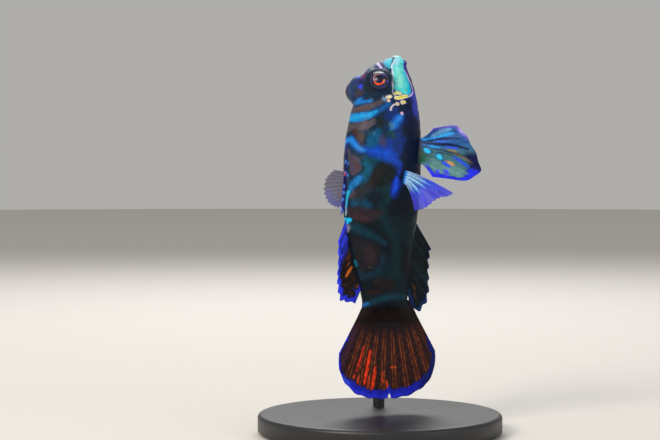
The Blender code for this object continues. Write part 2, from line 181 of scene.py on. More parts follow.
def reach(height, angle):
    """Distance from the section's middle to the skin: 0 is the right flank, 90 degrees the back."""
    top, bottom, half, mid = (section(height, k) for k in (1, 2, 3, 4))
    rise = np.where(np.sin(angle) > 0.0, top - mid, mid - bottom)
    inverse = np.abs(np.cos(angle) / half) ** SQUARENESS + np.abs(np.sin(angle) / rise) ** SQUARENESS
    body = inverse ** (-1.0 / SQUARENESS)
    orbit = orbit_reach(height, angle, mid)
    blend = np.maximum(ORBIT_BLEND - np.abs(body - orbit), 0.0) / ORBIT_BLEND
    return np.maximum(body, orbit) + blend**2 * ORBIT_BLEND / 4.0


def skin(height, angle, offset=0.0):
    """Point on the skin, or that far outside it."""
    far = reach(height, angle) + offset
    return place(height, far * np.cos(angle), section(height, 4) + far * np.sin(angle))


def skin_normal(height, angle):
    """Direction straight out of the skin."""
    step = 0.05
    along = skin(height + step, angle) - skin(height - step, angle)
    around = skin(height, angle + step) - skin(height, angle - step)
    return unit(np.cross(along, around))


snout = skin(SNOUT_HEIGHT, 0.0)
print("snout of the model at", np.round(snout, 1), "mm")

# %% [markdown]
# ## Meshes and nodes
#
# The skin and each fin are grids of points, so one helper turns a grid into a mesh. The colours
# are painted on the points as an attribute, which Blender calls a colour attribute: a pattern
# that belongs to the body then stays on it from every side. sRGB hex values are what a colour
# picker shows; the shader works in linear light, so one function turns the first into the second.


# %% Helpers for meshes, colours and nodes
def linear(code):
    """Linear colour of an sRGB hex value."""
    value = np.array([int(code[k:k + 2], 16) for k in (1, 3, 5)]) / 255.0
    return np.where(value <= 0.04045, value / 12.92, ((value + 0.055) / 1.055) ** 2.4)


def add_node(tree, kind, values=None, links=None, **settings):
    """Add a node with its settings, its socket values and the outputs that feed it."""
    new = tree.nodes.new(kind)
    for key, value in settings.items():
        setattr(new, key, value)
    for socket, value in (values or {}).items():
        new.inputs[socket].default_value = value
    for socket, source in (links or {}).items():
        tree.links.new(source, new.inputs[socket])
    return new


def new_mesh(name, points, faces, paint=None, material=None):
    """Smooth mesh object from points in millimetres, with painted colours, its faces outward."""
    mesh = bpy.data.meshes.new(name)
    mesh.from_pydata((np.asarray(points) * MM).tolist(), [], faces)
    work = bmesh.new()
    work.from_mesh(mesh)
    if work.calc_volume(signed=True) < 0.0:
        bmesh.ops.reverse_faces(work, faces=work.faces)
    work.to_mesh(mesh)
    work.free()
    if paint is not None:
        layer = mesh.attributes.new("paint", "FLOAT_COLOR", "POINT")
        layer.data.foreach_set("color", np.asarray(paint, dtype=np.float32).ravel())
    if material:
        mesh.materials.append(material)
    mesh.shade_smooth()
    piece = bpy.data.objects.new(name, mesh)
    bpy.context.scene.collection.objects.link(piece)
    return piece


def weld(piece, distance, outward=False):
    """Join points of a piece that lie together, and turn its faces outward if asked."""
    work = bmesh.new()
    work.from_mesh(piece.data)
    bmesh.ops.remove_doubles(work, verts=work.verts, dist=distance)
    if outward:
        bmesh.ops.recalc_face_normals(work, faces=work.faces)
    work.to_mesh(piece.data)
    work.free()


def finish_piece(piece, slot, *nodes):
    """Attach a piece to the root and hide the solids that it stands for; the slot is not used."""
    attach(piece, "root")
    if nodes:
        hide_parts(*nodes)
    print(piece.name, len(piece.data.polygons), "faces")


def wobble(points, wavelength, seed):
    """Smooth seeded value, mostly from -1 to 1, with waves about so many millimetres long."""
    random = np.random.default_rng(seed)
    total = np.zeros(points.shape[:-1])
    for _ in range(8):
        direction = random.normal(size=3)
        direction *= 2.0 * math.pi / wavelength * random.uniform(0.6, 1.5) / np.linalg.norm(direction)
        total += np.sin(points @ direction + random.uniform(0.0, 2.0 * math.pi))
    return total / 3.0


def painted(shape, code):
    """Grid of opaque points in one colour."""
    colours = np.ones((*shape, 4))
    colours[..., :3] = linear(code)
    return colours


def mix(paint, code, amount):
    """Lay an sRGB colour over painted points, by an amount from 0 to 1 at each."""
    amount = np.clip(amount, 0.0, 1.0)[..., None]
    paint[..., :3] = paint[..., :3] * (1.0 - amount) + linear(code) * amount


print("white is", linear("#ffffff"), "and a mid blue", np.round(linear("#1367b7"), 3))

# %% [markdown]
# ## Wet skin
#
# A living mandarinfish is covered in slime, so the colours look deep and soft, with a broad, low
# shine over them and no hard glints. The finish is a painted base under a clear coat. Pigment
# cells give a grain of about 0.25 mm, and the skin's own surface is pitted at about 0.35 mm. Both
# are noise on object coordinates, which are metres here, so a scale of 4000 means 0.25 mm.


# %% Skin and fin materials
def new_material(name):
    """Material with nodes, with its tree and its shader."""
    material = bpy.data.materials.new(name)
    material.use_nodes = True
    return material, material.node_tree, material.node_tree.nodes["Principled BSDF"]


def wet_skin(name, coat, bump_mm, clear=False):
    """Pigmented skin under a clear film: painted colour, a fine grain of cells, and pits."""
    material, tree, shader = new_material(name)
    place_on = add_node(tree, "ShaderNodeTexCoord").outputs["Object"]
    paint = add_node(tree, "ShaderNodeAttribute", attribute_name="paint")
    cells = add_node(tree, "ShaderNodeTexNoise", {"Scale": 4000.0, "Detail": 3.0}, {"Vector": place_on})
    patches = add_node(tree, "ShaderNodeTexNoise", {"Scale": 900.0, "Detail": 2.0}, {"Vector": place_on})
    grain = add_node(
        tree, "ShaderNodeMapRange",
        {"From Min": 0.3, "From Max": 0.7, "To Min": 0.72, "To Max": 1.22},
        {"Value": cells.outputs["Fac"]},
    )
    cloud = add_node(
        tree, "ShaderNodeMapRange",
        {"From Min": 0.3, "From Max": 0.7, "To Min": 0.86, "To Max": 1.12},
        {"Value": patches.outputs["Fac"]},
    )
    tone = add_node(
        tree, "ShaderNodeMath", None,
        {0: grain.outputs["Result"], 1: cloud.outputs["Result"]}, operation="MULTIPLY",
    )
    colour = add_node(
        tree, "ShaderNodeVectorMath", None,
        {0: paint.outputs["Color"], "Scale": tone.outputs["Value"]}, operation="SCALE",
    )
    tree.links.new(colour.outputs["Vector"], shader.inputs["Base Color"])
    gloss = add_node(
        tree, "ShaderNodeMapRange", {"From Min": 0.3, "From Max": 0.7, "To Min": 0.38, "To Max": 0.56},
        {"Value": patches.outputs["Fac"]},
    )
    tree.links.new(gloss.outputs["Result"], shader.inputs["Roughness"])
    pits = add_node(tree, "ShaderNodeTexNoise", {"Scale": 2800.0, "Detail": 2.0}, {"Vector": place_on})
    bump = add_node(
        tree, "ShaderNodeBump", {"Strength": 0.6, "Distance": bump_mm * MM},
        {"Height": pits.outputs["Fac"]},
    )
    tree.links.new(bump.outputs["Normal"], shader.inputs["Normal"])
    shader.inputs["IOR"].default_value = 1.38
    shader.inputs["Specular IOR Level"].default_value = 0.15
    shader.inputs["Coat Weight"].default_value = coat
    shader.inputs["Coat Roughness"].default_value = 0.2
    shader.inputs["Coat IOR"].default_value = 1.34
    if clear:
        tree.links.new(paint.outputs["Alpha"], shader.inputs["Alpha"])
    return material


slimy_skin = wet_skin("scaleless_skin_under_slime", 0.06, 0.03)
fin_membrane = wet_skin("fin_membrane_pigmented", 0.06, 0.015)
clear_membrane = wet_skin("fin_membrane_translucent", 0.12, 0.01, clear=True)
fin_ray = wet_skin("fin_ray_bone_under_skin", 0.06, 0.01)
print("skin materials:", slimy_skin.name, fin_membrane.name, clear_membrane.name, fin_ray.name)

# %% [markdown]
# ## Body skin: the shape
#
# Head, trunk and tail stalk are one skin without a seam, so one grid of points covers all three:
# rings round the body, closer together on the head, where the lips, nostrils and eye rims are
# small. Sculpting by hand would give the same shape, but a rule gives it back every time.
# On top of the plain section each point is moved in or out: the gape and the lips, the nostrils,
# the small gill pore behind the head, and the skin that ends in a soft rim round the eyeball.

# %% Rings of the skin
RING_POINTS = 240
SNOUT_STEP, HEAD_STEP, BODY_STEP, TAIL_STEP = 0.04, 0.1, 0.18, 0.16
LIPS_END, HEAD_END, BODY_END, SKIN_END = 76.5, 64.0, 26.0, 22.3

rows = np.concatenate((
    np.arange(SNOUT_HEIGHT, LIPS_END, -SNOUT_STEP), np.arange(LIPS_END, HEAD_END, -HEAD_STEP),
    np.arange(HEAD_END, BODY_END, -BODY_STEP), np.arange(BODY_END, SKIN_END, -TAIL_STEP),
))
phase = np.linspace(0.0, 2.0 * math.pi, RING_POINTS, endpoint=False)
rise = np.where(
    np.sin(phase) > 0.0, (section(rows, 1) - section(rows, 4))[:, None],
    (section(rows, 4) - section(rows, 2))[:, None],
)
skin_angle = np.arctan2(rise * np.sin(phase), section(rows, 3)[:, None] * np.cos(phase))
skin_height = np.repeat(rows[:, None], RING_POINTS, axis=1)
print("skin grid:", skin_height.shape)

# %% Lips, nostrils, gill pore
MOUTH_LEVEL, MOUTH_CORNER = -5.1, 75.9
GAPE_HALF, GAPE_DEPTH, LIP_PROUD = 0.42, 0.6, 0.14
NOTCH_HALF, NOTCH_DEPTH, NOTCH_FROM = 0.34, 1.15, 76.5
NOSTRIL_HEIGHT, NOSTRIL_ANGLE = 74.6, math.radians(48.0)
GILL_PORE = ((60.6, 58.0), (60.2, 55.0), (59.9, 51.0))


def nearness(points, targets):
    """Distance from each point to the nearest of some targets."""
    best = np.full(points.shape[:-1], 1e9)
    for target in targets:
        best = np.minimum(best, np.linalg.norm(points - target, axis=-1))
    return best


def relief(height, angle):
    """How far the fine forms of the skin stand out of the plain section, or sink into it."""
    plain = skin(height, angle)
    far = reach(height, angle)
    level = section(height, 4) + far * np.sin(angle)
    open_part = ease((height - MOUTH_CORNER) / 1.2)
    off_line = np.abs(level - MOUTH_LEVEL)
    half = GAPE_HALF * (0.35 + 0.65 * open_part)
    sink = -GAPE_DEPTH * open_part * np.exp(-((off_line / half) ** 2) * 1.4)
    lips = LIP_PROUD * ease((height - MOUTH_CORNER + 0.5) / 0.9)
    lips = lips * np.exp(-(((off_line - 2.0 * half) / 0.28) ** 2))
    total = sink + lips
    for mirror in (False, True):
        spot = skin(NOSTRIL_HEIGHT, math.pi - NOSTRIL_ANGLE if mirror else NOSTRIL_ANGLE)
        d = np.linalg.norm(plain - spot, axis=-1)
        total += 0.1 * np.exp(-(((d - 0.34) / 0.13) ** 2)) - 0.25 * np.exp(-((d / 0.2) ** 2))
        pore = [skin(h, math.radians(180.0 - a if mirror else a)) for h, a in GILL_PORE]
        d = nearness(plain, pore)
        total += 0.12 * np.exp(-(((d - 0.35) / 0.18) ** 2)) - 0.2 * np.exp(-((d / 0.18) ** 2))
    total += 0.035 * wobble(plain, 2.6, 11)
    return total


skin_points = skin(skin_height, skin_angle, relief(skin_height, skin_angle))
skin_level = section(skin_height, 4) + reach(skin_height, skin_angle) * np.sin(skin_angle)
notch = NOTCH_DEPTH * ease((skin_height - NOTCH_FROM) / 1.0)
notch = notch * np.exp(-(((skin_level - MOUTH_LEVEL) / NOTCH_HALF) ** 2))
skin_points = skin_points - body_frame(skin_height)[1] * notch[..., None]
print("relief done, the mouth's notch is", round(float(notch.max()), 2), "mm deep")


# %% [markdown]
# ## Body skin: the eye openings
#
# Round the eye of a fish the skin slopes down to the ball and ends in a soft rim. A boolean could
# cut the hole, but it leaves ragged faces. Here the points near the eye slide down to the ball
# instead, and the innermost ones tuck in behind its surface.

# %% Eye openings
def eye_centre(side):
    """Middle of an eyeball: side is 1 for the right eye, -1 for the left."""
    return place(EYE_HEIGHT, side * EYE_SIDE, EYE_LEVEL)


def eye_gaze(side):
    """Direction in which an eye looks: out, up over the back, and a little forward."""
    _, forward, dorsal, right = body_frame(EYE_HEIGHT)
    return unit(right * (side * math.cos(EYE_AIM)) + dorsal * math.sin(EYE_AIM) + forward * 0.08)


def from_eye_axis(away, far, side):
    """Angle between the gaze and points given by their offset and distance from the eye's middle."""
    return np.arccos(np.clip(away @ eye_gaze(side) / far, -1.0, 1.0))


RIM_ANGLE, LID_ANGLE = math.radians(50.0), math.radians(7.0)
RIM_WIDTH, SLOPE_WIDTH = math.radians(4.5), math.radians(32.0)
TUCK_RADIUS, RIM_PROUD, EYE_REACH = 2.05, 0.04, 4.2

for side in (1, -1):
    away = skin_points - eye_centre(side)
    far = np.linalg.norm(away, axis=-1)
    gaze = eye_gaze(side)
    back_way = body_frame(EYE_HEIGHT)[2]
    back_way = unit(back_way - gaze * (back_way @ gaze))
    from_axis = from_eye_axis(away, far, side)
    rim_angle = RIM_ANGLE - LID_ANGLE * (away @ back_way) / far
    slope = ease((rim_angle + RIM_WIDTH + SLOPE_WIDTH - from_axis) / SLOPE_WIDTH) * (far < EYE_REACH)
    far = np.minimum(far, far * (1.0 - slope) + (EYE_RADIUS + RIM_PROUD) * slope)
    away = unit(away) * far[..., None]
    inside = ease((rim_angle + RIM_WIDTH - from_axis) / (2.0 * RIM_WIDTH)) * (far < EYE_REACH)
    new_far = far * (1.0 - inside) + TUCK_RADIUS * inside
    skin_points = eye_centre(side) + away * (new_far / far)[..., None]
print("eyes open; gaze of the right eye", np.round(eye_gaze(1), 2))

# %% [markdown]
# ## Body skin: the markings
#
# The pattern is what makes the fish. Each marking is written down as a stroke: a few stops, each
# with its height on the body, its angle round the section (0 is the middle of the flank, 90 the
# back) and its width. A smooth line runs through the stops, and a point of the skin takes the
# colour when it is nearer to the line than half the width. A little waviness in that distance
# gives the uneven border of real pigment. Bands have a dark seam on both sides and a lighter core.
# Both flanks carry the same set of markings; on the left they are shifted slightly, because no
# fish is quite alike on both sides. Only the left brow and the skin round the left eye differ more.

# %% Ground colours
paint = painted(skin_height.shape, "#08121a")
degrees = np.degrees(skin_angle)
flank = np.where(degrees > 90.0, 180.0 - degrees, np.where(degrees < -90.0, -180.0 - degrees, degrees))
fore = ease((skin_height - 42.0) / 18.0)
teal_patches = ease(0.5 + 0.6 * wobble(skin_points, 9.0, 21))
mix(paint, "#09222b", 0.8 * teal_patches * ease((50.0 - skin_height) / 6.0))
mix(paint, "#16283f", fore * ease((flank + 30.0) / 60.0))
mix(paint, "#0f3550", 0.6 * fore * ease((flank - 5.0) / 30.0) * teal_patches)
mix(paint, "#0a1836", fore * ease((5.0 - flank) / 25.0))
mix(paint, "#171c4c", ease((skin_height - 61.0) / 5.0) * ease((-2.0 - flank) / 25.0))
mix(paint, "#17445f", 0.7 * fore * ease((-60.0 - flank) / 22.0))
mix(paint, "#1b2560", ease((skin_height - 70.5) / 3.0) * ease((flank - 40.0) / 30.0))
mix(paint, "#1a1012", ease((26.6 - skin_height) / 1.6))
print("ground painted on", paint.shape[0] * paint.shape[1], "points")


# %% Strokes
def from_line(points, line, half):
    """Distance from points to a bent line of changing half width, negative inside it."""
    gap = np.full(points.shape[:-1], 1e9)
    for start, end, near, far in zip(line[:-1], line[1:], half[:-1], half[1:]):
        way = end - start
        t = np.clip((points - start) @ way / max(way @ way, 1e-12), 0.0, 1.0)
        d = np.linalg.norm(points - start - t[..., None] * way, axis=-1)
        gap = np.minimum(gap, d - near - (far - near) * t)
    return gap


def stroke_line(stops, mirror, seed):
    """Points along a marking, the half width at each, and the heights that it spans."""
    stops = np.array(stops, dtype=float).reshape(-1, 3)
    if len(stops) == 1:
        stops = np.vstack((stops, stops))
    spots = np.arange(len(stops), dtype=float)
    at = np.linspace(0.0, len(stops) - 1.0, 5 * len(stops))
    height, angle, width = (hermite(spots, stops[:, k], at) for k in range(3))
    if mirror:
        angle = 180.0 - angle - 4.0 * np.sin(height * 0.6 + seed)
        height = height + 0.25 + 0.35 * np.sin(height * 0.8 + 1.3 + seed)
    return skin(height, np.radians(angle)), np.maximum(width, 0.0) / 2.0, (height.min(), height.max())


def stroke(stops, colour, soft=0.3, amount=1.0, grow=0.0, both=True, seed=1, ragged=0.1):
    """Lay one marking on the skin, on both flanks unless it belongs to one only."""
    for mirror in ((False, True) if both else (False,)):
        line, half, span = stroke_line(stops, mirror, seed)
        margin = half.max() + grow + soft + 1.5
        near = np.nonzero((rows < span[1] + margin) & (rows > span[0] - margin))[0]
        part = slice(near[0], near[-1] + 1)
        points = skin_points[part]
        gap = from_line(points, line, half) - grow + ragged * wobble(points, 1.7, 40 + seed)
        mix(paint[part], colour, amount * ease(0.5 - gap / (2.0 * soft)))


BAND_SEAM, CORE_SHARE = "#091426", 0.3


def band(stops, colour, core, soft, seed):
    """Blue band with a dark seam on both sides and a lighter core along its middle."""
    stroke(stops, BAND_SEAM, 0.35, 0.6, grow=0.3, seed=seed)
    stroke(stops, colour, soft, seed=seed, ragged=0.06)
    slim = [(height, angle, width * CORE_SHARE) for height, angle, width in stops]
    stroke(slim, core, 0.5, 0.9, seed=seed, ragged=0.15)


print("stroke helpers ready")

# %% [markdown]
# ## Markings: fields and patches
#
# Under the bands the colour changes slowly: navy on the cheek, royal blue on the shoulder, teal
# behind it, with brown or nearly black patches between. They could be painted on an unfolded skin
# as an image, but strokes need no unfolding. A row has a name, a tone, a softness and its stops.

# %% Wide soft fields under the bands
FIELDS = (
    ("navy cheek", "#18232f", 0.7, ((70.3, 60, 5.6), (68.9, 50, 2.6), (68.6, 66, 2.6))),
    ("violet left of the eye", "#2a2a72", 0.8, ((72.0, 84, 1.4), (70.6, 80, 1.2))),
    ("blue throat", "#3644c0", 0.9, (
        (70.2, -34, 1.4), (68.6, -32, 2.4), (66.6, -30, 2.4), (64.6, -34, 1.4))),
    ("blue below the dots", "#16337c", 0.8, ((65.6, 33, 1.6), (64.4, 28, 2.4), (63.3, 30, 1.6))),
    ("navy behind the spot", "#101d4e", 0.8, ((64.6, -6, 2.0), (62.6, 2, 1.8))),
    ("royal field", "#103898", 0.9, (
        (57.2, 68, 0.9), (56.9, 56, 1.8), (57.0, 44, 2.6), (57.2, 32, 3.2), (57.4, 18, 3.6))),
    ("upper royal field", "#14327e", 0.9, ((60.4, 10, 2.0), (59.0, 8, 3.0), (57.4, 6, 2.6))),
    ("teal round the oval", "#0f5672", 0.8, (
        (54.9, 62, 1.6), (53.7, 60, 2.7), (52.4, 62, 2.6), (51.4, 67, 2.0))),
    ("teal over the oval", "#0e3f50", 0.6, ((55.1, 54, 0.8), (55.2, 42, 1.0), (55.1, 30, 0.7))),
    ("grey behind the triangle", "#25384e", 0.5, ((52.0, 88, 1.6), (51.0, 87, 1.6))),
    ("blue towards the pectoral fin", "#122f86", 0.8, ((50.6, 1, 2.4), (49.2, 6, 2.2))),
    ("mottled green below the oval", "#0e3338", 0.7, (
        (50.0, 34, 1.8), (49.3, 22, 1.8), (47.6, 20, 1.4))),
    ("teal below the rise", "#0f3f5e", 0.7, ((47.2, 74, 1.6), (46.6, 62, 1.8), (46.4, 52, 1.0))),
    ("rear teal slope", "#0a2a33", 0.9, (
        (46.5, 34, 1.6), (44.0, 22, 1.6), (41.6, 6, 1.6), (40.2, -10, 1.4))),
    ("flank teal", "#09252c", 0.9, ((38.5, -22, 2.2), (35.5, -30, 2.4), (32.5, -30, 1.8))),
    ("teal below the rear oval", "#0e3348", 0.7, (
        (33.0, 74, 1.4), (32.6, 56, 1.8), (33.6, 38, 1.6), (35.6, 24, 1.4))),
)
for number, (_, colour, soft, stops) in enumerate(FIELDS):
    stroke(stops, colour, soft, 0.9, seed=number, ragged=0.3)
print(len(FIELDS), "fields")

# %% Brown and dark patches
PATCHES = (
    ("nape patch", "#3a3442", 0.4, ((68.9, 99, 1.3), (68.4, 93, 1.7), (68.1, 87, 1.1))),
    ("saddle behind the eye", "#4b4650", 0.25, (
        (65.2, 98, 1.2), (65.0, 86, 1.7), (65.0, 74, 1.9), (65.4, 62, 1.7), (66.0, 53, 1.3),
        (66.6, 47, 0.7))),
    ("warm side of the saddle", "#56444a", 0.5, ((65.0, 86, 0.8), (64.9, 74, 0.9))),
    ("shoulder patch", "#4d4650", 0.3, (
        (61.8, 90, 1.6), (61.8, 76, 2.4), (61.9, 66, 2.2), (62.3, 58, 1.6))),
    ("shoulder patch, lower part", "#38292b", 0.5, (
        (60.8, 84, 1.0), (60.0, 76, 1.8), (59.2, 71, 1.5), (58.4, 68, 0.8))),
    ("dark end of the shoulder patch", "#1a2426", 0.5, (
        (62.9, 50, 1.0), (62.4, 47, 1.4), (61.6, 45, 1.0))),
    ("shadow beside the shoulder patch", "#0c1a20", 0.35, (
        (61.2, 52, 0.6), (60.4, 57, 0.8), (59.4, 61, 0.8), (58.4, 63, 0.6))),
    ("triangle below the back", "#463f52", 0.22, (
        (57.3, 88, 0.3), (55.8, 82, 1.5), (54.4, 76, 2.4), (53.3, 76, 2.0), (52.5, 79, 0.8))),
    ("warm side of the triangle", "#48343e", 0.5, ((55.0, 74, 0.7), (53.8, 70, 1.1), (53.0, 73, 0.7))),
    ("shadow beside the triangle", "#0d2634", 0.3, (
        (56.2, 71, 0.4), (54.8, 65, 0.5), (53.4, 64, 0.5), (52.3, 70, 0.5))),
    ("dark oval", "#131c1e", 0.45, (
        (54.2, 24, 1.8), (53.4, 27, 3.6), (52.4, 32, 4.4), (51.2, 42, 3.0), (50.6, 48, 1.8))),
    ("brown in the dark oval", "#241f22", 0.8, ((52.8, 42, 1.8), (51.4, 50, 1.6))),
    ("brown behind the oval", "#262a32", 0.7, ((50.2, 56, 1.8), (49.2, 64, 2.0), (48.4, 72, 1.4))),
    ("warm spot behind the back line", "#4a4046", 0.4, ((49.2, 77, 0.9), (48.3, 79, 0.8))),
    ("rear saddle", "#2a2229", 0.6, (
        (45.2, 80, 1.8), (44.9, 66, 2.8), (44.6, 50, 2.6), (45.0, 36, 1.4))),
    ("warm rear saddle", "#34222a", 0.6, ((44.3, 72, 1.4), (44.0, 58, 1.4))),
    ("rear oval", "#191a20", 0.7, ((39.0, 70, 2.4), (37.4, 60, 5.0), (35.9, 58, 5.6), (34.4, 58, 3.6))),
    ("brown in the rear oval", "#2a2129", 0.9, ((37.6, 56, 2.2), (36.0, 52, 2.4))),
    ("stalk patch", "#1e1719", 0.6, ((31.0, 40, 2.0), (30.6, 15, 2.2), (30.4, -14, 1.8))),
    ("stalk line", "#231a16", 0.5, ((28.9, 66, 0.9), (29.0, 35, 1.0))),
)
for number, (_, colour, soft, stops) in enumerate(PATCHES):
    stroke(stops, colour, soft, seed=20 + number)
print(len(PATCHES), "patches")

# %% [markdown]
# ## Markings: the bands
#
# The blue of this fish is a true pigment, which is rare in animals, and each band has a dark seam.
# The bands are laid after the patches, so that they run over them. They are bright on the head and
# the shoulder and turn to dark teal towards the tail. A row has a tone, a core and a softness.

# %% Blue and teal bands
BANDS = (
    ("first band", "#1160ae", "#1c84da", 0.5, (
        (66.6, 98, 0.8), (66.5, 88, 1.0), (66.4, 78, 0.9), (66.4, 70, 0.6), (66.5, 65, 0.3))),
    ("second band, far end", "#12488c", "#165c9e", 0.5, (
        (63.6, 66, 1.4), (63.9, 58, 1.5), (64.6, 50, 1.3), (65.3, 42, 1.1), (65.9, 36, 0.8))),
    ("second band", "#0f74bc", "#18a4dc", 0.3, (
        (63.3, 99, 1.0), (63.3, 90, 1.5), (63.3, 78, 2.0), (63.4, 68, 1.7), (63.8, 60, 1.2),
        (64.3, 54, 0.6))),
    ("branch to the back", "#1264c4", "#1f86dc", 0.5, (
        (59.2, 92, 1.2), (59.0, 84, 1.5), (58.1, 77, 1.4), (57.3, 71, 1.1), (56.9, 64, 0.8))),
    ("descent beside the oval", "#122c94", "#173aac", 0.5, (
        (54.6, -2, 0.7), (53.6, -3, 0.6), (52.6, -1, 0.6))),
    ("royal drop", "#0f38c0", "#174ede", 0.5, (
        (51.8, 2, 0.7), (50.9, 2, 1.4), (50.0, 3, 1.5), (49.1, 7, 0.9), (48.5, 10, 0.4))),
    ("rise to the back", "#125c9c", "#1a74b8", 0.5, (
        (51.9, 66, 1.0), (51.0, 74, 1.6), (50.2, 79, 1.5), (49.4, 82, 0.9))),
    ("line below the first dorsal", "#1590d0", "#3fc8f0", 0.5, (
        (49.2, 83, 0.6), (48.2, 86, 0.6), (47.2, 88, 0.5), (46.4, 89, 0.4))),
    ("flank spot", "#145cc0", "#2a8ae4", 0.5, (
        (63.9, 7, 1.0), (63.2, 12, 1.9), (62.4, 17, 2.1), (61.6, 22, 1.6), (61.0, 25, 0.8))),
    ("rear teal band", "#092a38", "#0a3644", 0.5, (
        (42.6, 82, 1.6), (41.8, 68, 2.3), (41.0, 55, 1.9), (40.1, 40, 1.3), (39.2, 22, 0.9),
        (38.8, 12, 0.4))),
    ("stalk band", "#0b2636", "#0d3040", 0.5, (
        (31.9, 76, 0.9), (32.4, 60, 1.1), (33.0, 44, 1.1), (34.0, 30, 1.0))),
    ("band on the tail base", "#0a2a38", "#0d3848", 0.5, (
        (26.2, 80, 0.8), (27.0, 58, 1.3), (27.6, 32, 1.5), (27.9, 0, 1.5), (28.0, -35, 1.4),
        (27.8, -66, 1.0))),
)
for number, (_, colour, core, soft, stops) in enumerate(BANDS):
    band(stops, colour, core, soft, seed=60 + number)
print(len(BANDS), "bands")

# %% Softer patches of teal, lavender and white
AREAS = (
    ("bright royal", "#124cc8", 0.9, (
        (56.9, 58, 0.9), (56.6, 47, 1.5), (56.3, 37, 2.0), (56.0, 27, 2.2), (55.6, 17, 2.0),
        (55.0, 8, 1.5), (54.3, 2, 0.8))),
    ("teal oval", "#0a527c", 0.6, ((60.1, 48, 1.7), (59.1, 52, 2.6), (58.1, 56, 1.9))),
    ("lavender patch", "#3e4060", 0.6, ((59.2, 40, 1.0), (58.4, 37, 1.5))),
    ("green patch", "#164246", 0.6, ((60.2, 25, 1.3), (59.7, 18, 1.0))),
    ("whitish end of the flank spot", "#48788e", 0.5, ((61.8, 27, 0.7), (61.4, 24, 0.6))),
    ("pale patch", "#6f8cae", 0.35, ((67.0, 47, 0.7), (66.7, 42, 1.0))),
    ("blue under the eye", "#243076", 0.6, ((69.2, 56, 0.9), (69.0, 46, 1.2), (69.6, 39, 0.9))),
    ("violet jaw", "#3a2fa0", 0.4, (
        (77.0, -14, 0.5), (76.0, -14, 0.8), (75.0, -12, 0.8), (74.0, -12, 0.7), (72.8, -18, 0.6))),
)
for number, (_, colour, soft, stops) in enumerate(AREAS):
    stroke(stops, colour, soft, 0.9, seed=120 + number)
print(len(AREAS), "areas")

# %% [markdown]
# ## Markings: the head and the smallest marks
#
# The head has the brightest marks: a turquoise band on the cheek with pale edges, a patch of the
# same tone on the snout, and short yellow dashes behind the band. A stroke covers what was painted
# before it, so the narrow marks with hard edges come last.

# %% Head: cheek band, snout and brow
HEAD_MARKS = (
    ("dark seam of the snout patch", "#12306a", 0.3, (
        (76.4, 56, 1.6), (75.3, 54, 2.9), (74.2, 49, 2.2))),
    ("snout patch", "#2fb0cc", 0.2, ((76.5, 62, 1.2), (75.4, 58, 2.2), (74.5, 52, 1.7))),
    ("light part of the snout patch", "#55cfe0", 0.5, ((76.6, 64, 0.6), (75.8, 61, 1.0))),
    ("grey brow", "#34506e", 0.5, ((74.4, 92, 1.0), (73.9, 84, 1.8), (73.2, 80, 1.2))),
    ("olive spot on the brow", "#7d8a86", 0.35, ((74.1, 84, 0.6), (73.9, 80, 0.8))),
    ("reddish forehead", "#6c2c62", 0.4, ((72.7, 95, 0.7), (72.2, 92, 1.0))),
    ("lilac line on the snout", "#cfc2ec", 0.14, (
        (75.2, 80, 0.4), (74.7, 74, 0.55), (74.15, 68, 0.55), (73.7, 64, 0.4))),
    # The pale lilac dot on the brow is a painted highlight.
    ("painted highlight on the brow", "#9a94d0", 0.14, ((73.5, 95, 0.4),)),
    ("notch spot", "#2a3ed0", 0.3, ((70.2, 94, 0.6), (69.9, 89, 0.9))),
    ("violet spot by the eye", "#7a4fd0", 0.12, ((70.3, 47, 0.3), (70.9, 41, 0.45))),
    ("dark seam of the cheek band", "#0b2a66", 0.3, (
        (77.2, 18, 1.2), (76.3, 24, 2.8), (74.0, 22, 3.4), (72.0, 16, 4.2), (70.0, 12, 4.7),
        (69.2, 11, 4.4))),
    ("cheek band", "#58dcdc", 0.14, (
        (77.6, 20, 1.2), (76.8, 24, 2.0), (76.0, 25, 2.4), (74.0, 22, 2.8), (72.0, 16, 3.6),
        (70.2, 13, 4.0), (69.5, 11, 3.8))),
    ("pale part of the cheek band", "#8cecdf", 0.6, (
        (74.2, 26, 0.9), (72.2, 20, 1.4), (70.4, 18, 1.6))),
    ("blue-white top of the cheek band", "#9fe0f4", 0.4, (
        (77.4, 30, 0.8), (76.4, 34, 0.9), (75.4, 34, 0.8))),
    ("cyan side of the cheek band", "#18c4ea", 0.2, (
        (73.6, 0, 0.5), (72.2, -6, 0.6), (70.8, -9, 0.7), (69.6, -11, 0.9), (68.9, -8, 0.7))),
    ("upper lip", "#b8e6f6", 0.3, ((77.8, 80, 0.7), (77.6, 45, 0.7))),
    ("lower lip", "#7ec4f0", 0.3, ((77.4, -60, 0.8), (77.2, -20, 0.8), (76.8, 0, 0.6))),
    ("violet edge of the jaw", "#3226b0", 0.15, (
        (77.3, -34, 0.4), (76.6, -14, 0.5), (75.6, -9, 0.5), (74.6, -7, 0.4))),
    ("upper edge of the cheek band", "#d8e2fa", 0.1, (
        (76.6, 46, 0.3), (75.6, 47, 0.35), (74.6, 46, 0.35), (73.6, 41, 0.35), (72.4, 38, 0.35),
        (71.2, 36, 0.3), (70.0, 34, 0.35), (69.2, 33, 0.45), (68.4, 33, 0.6))),
    ("lower edge of the cheek band", "#cdb6ee", 0.12, (
        (74.2, -4, 0.25), (73.0, -10, 0.4), (71.8, -16, 0.45), (70.6, -22, 0.45), (69.7, -24, 0.45),
        (68.9, -20, 0.4), (68.3, -12, 0.35), (68.0, -5, 0.25))),
)
for number, (_, colour, soft, stops) in enumerate(HEAD_MARKS):
    stroke(stops, colour, soft, seed=160 + number, ragged=0.05)
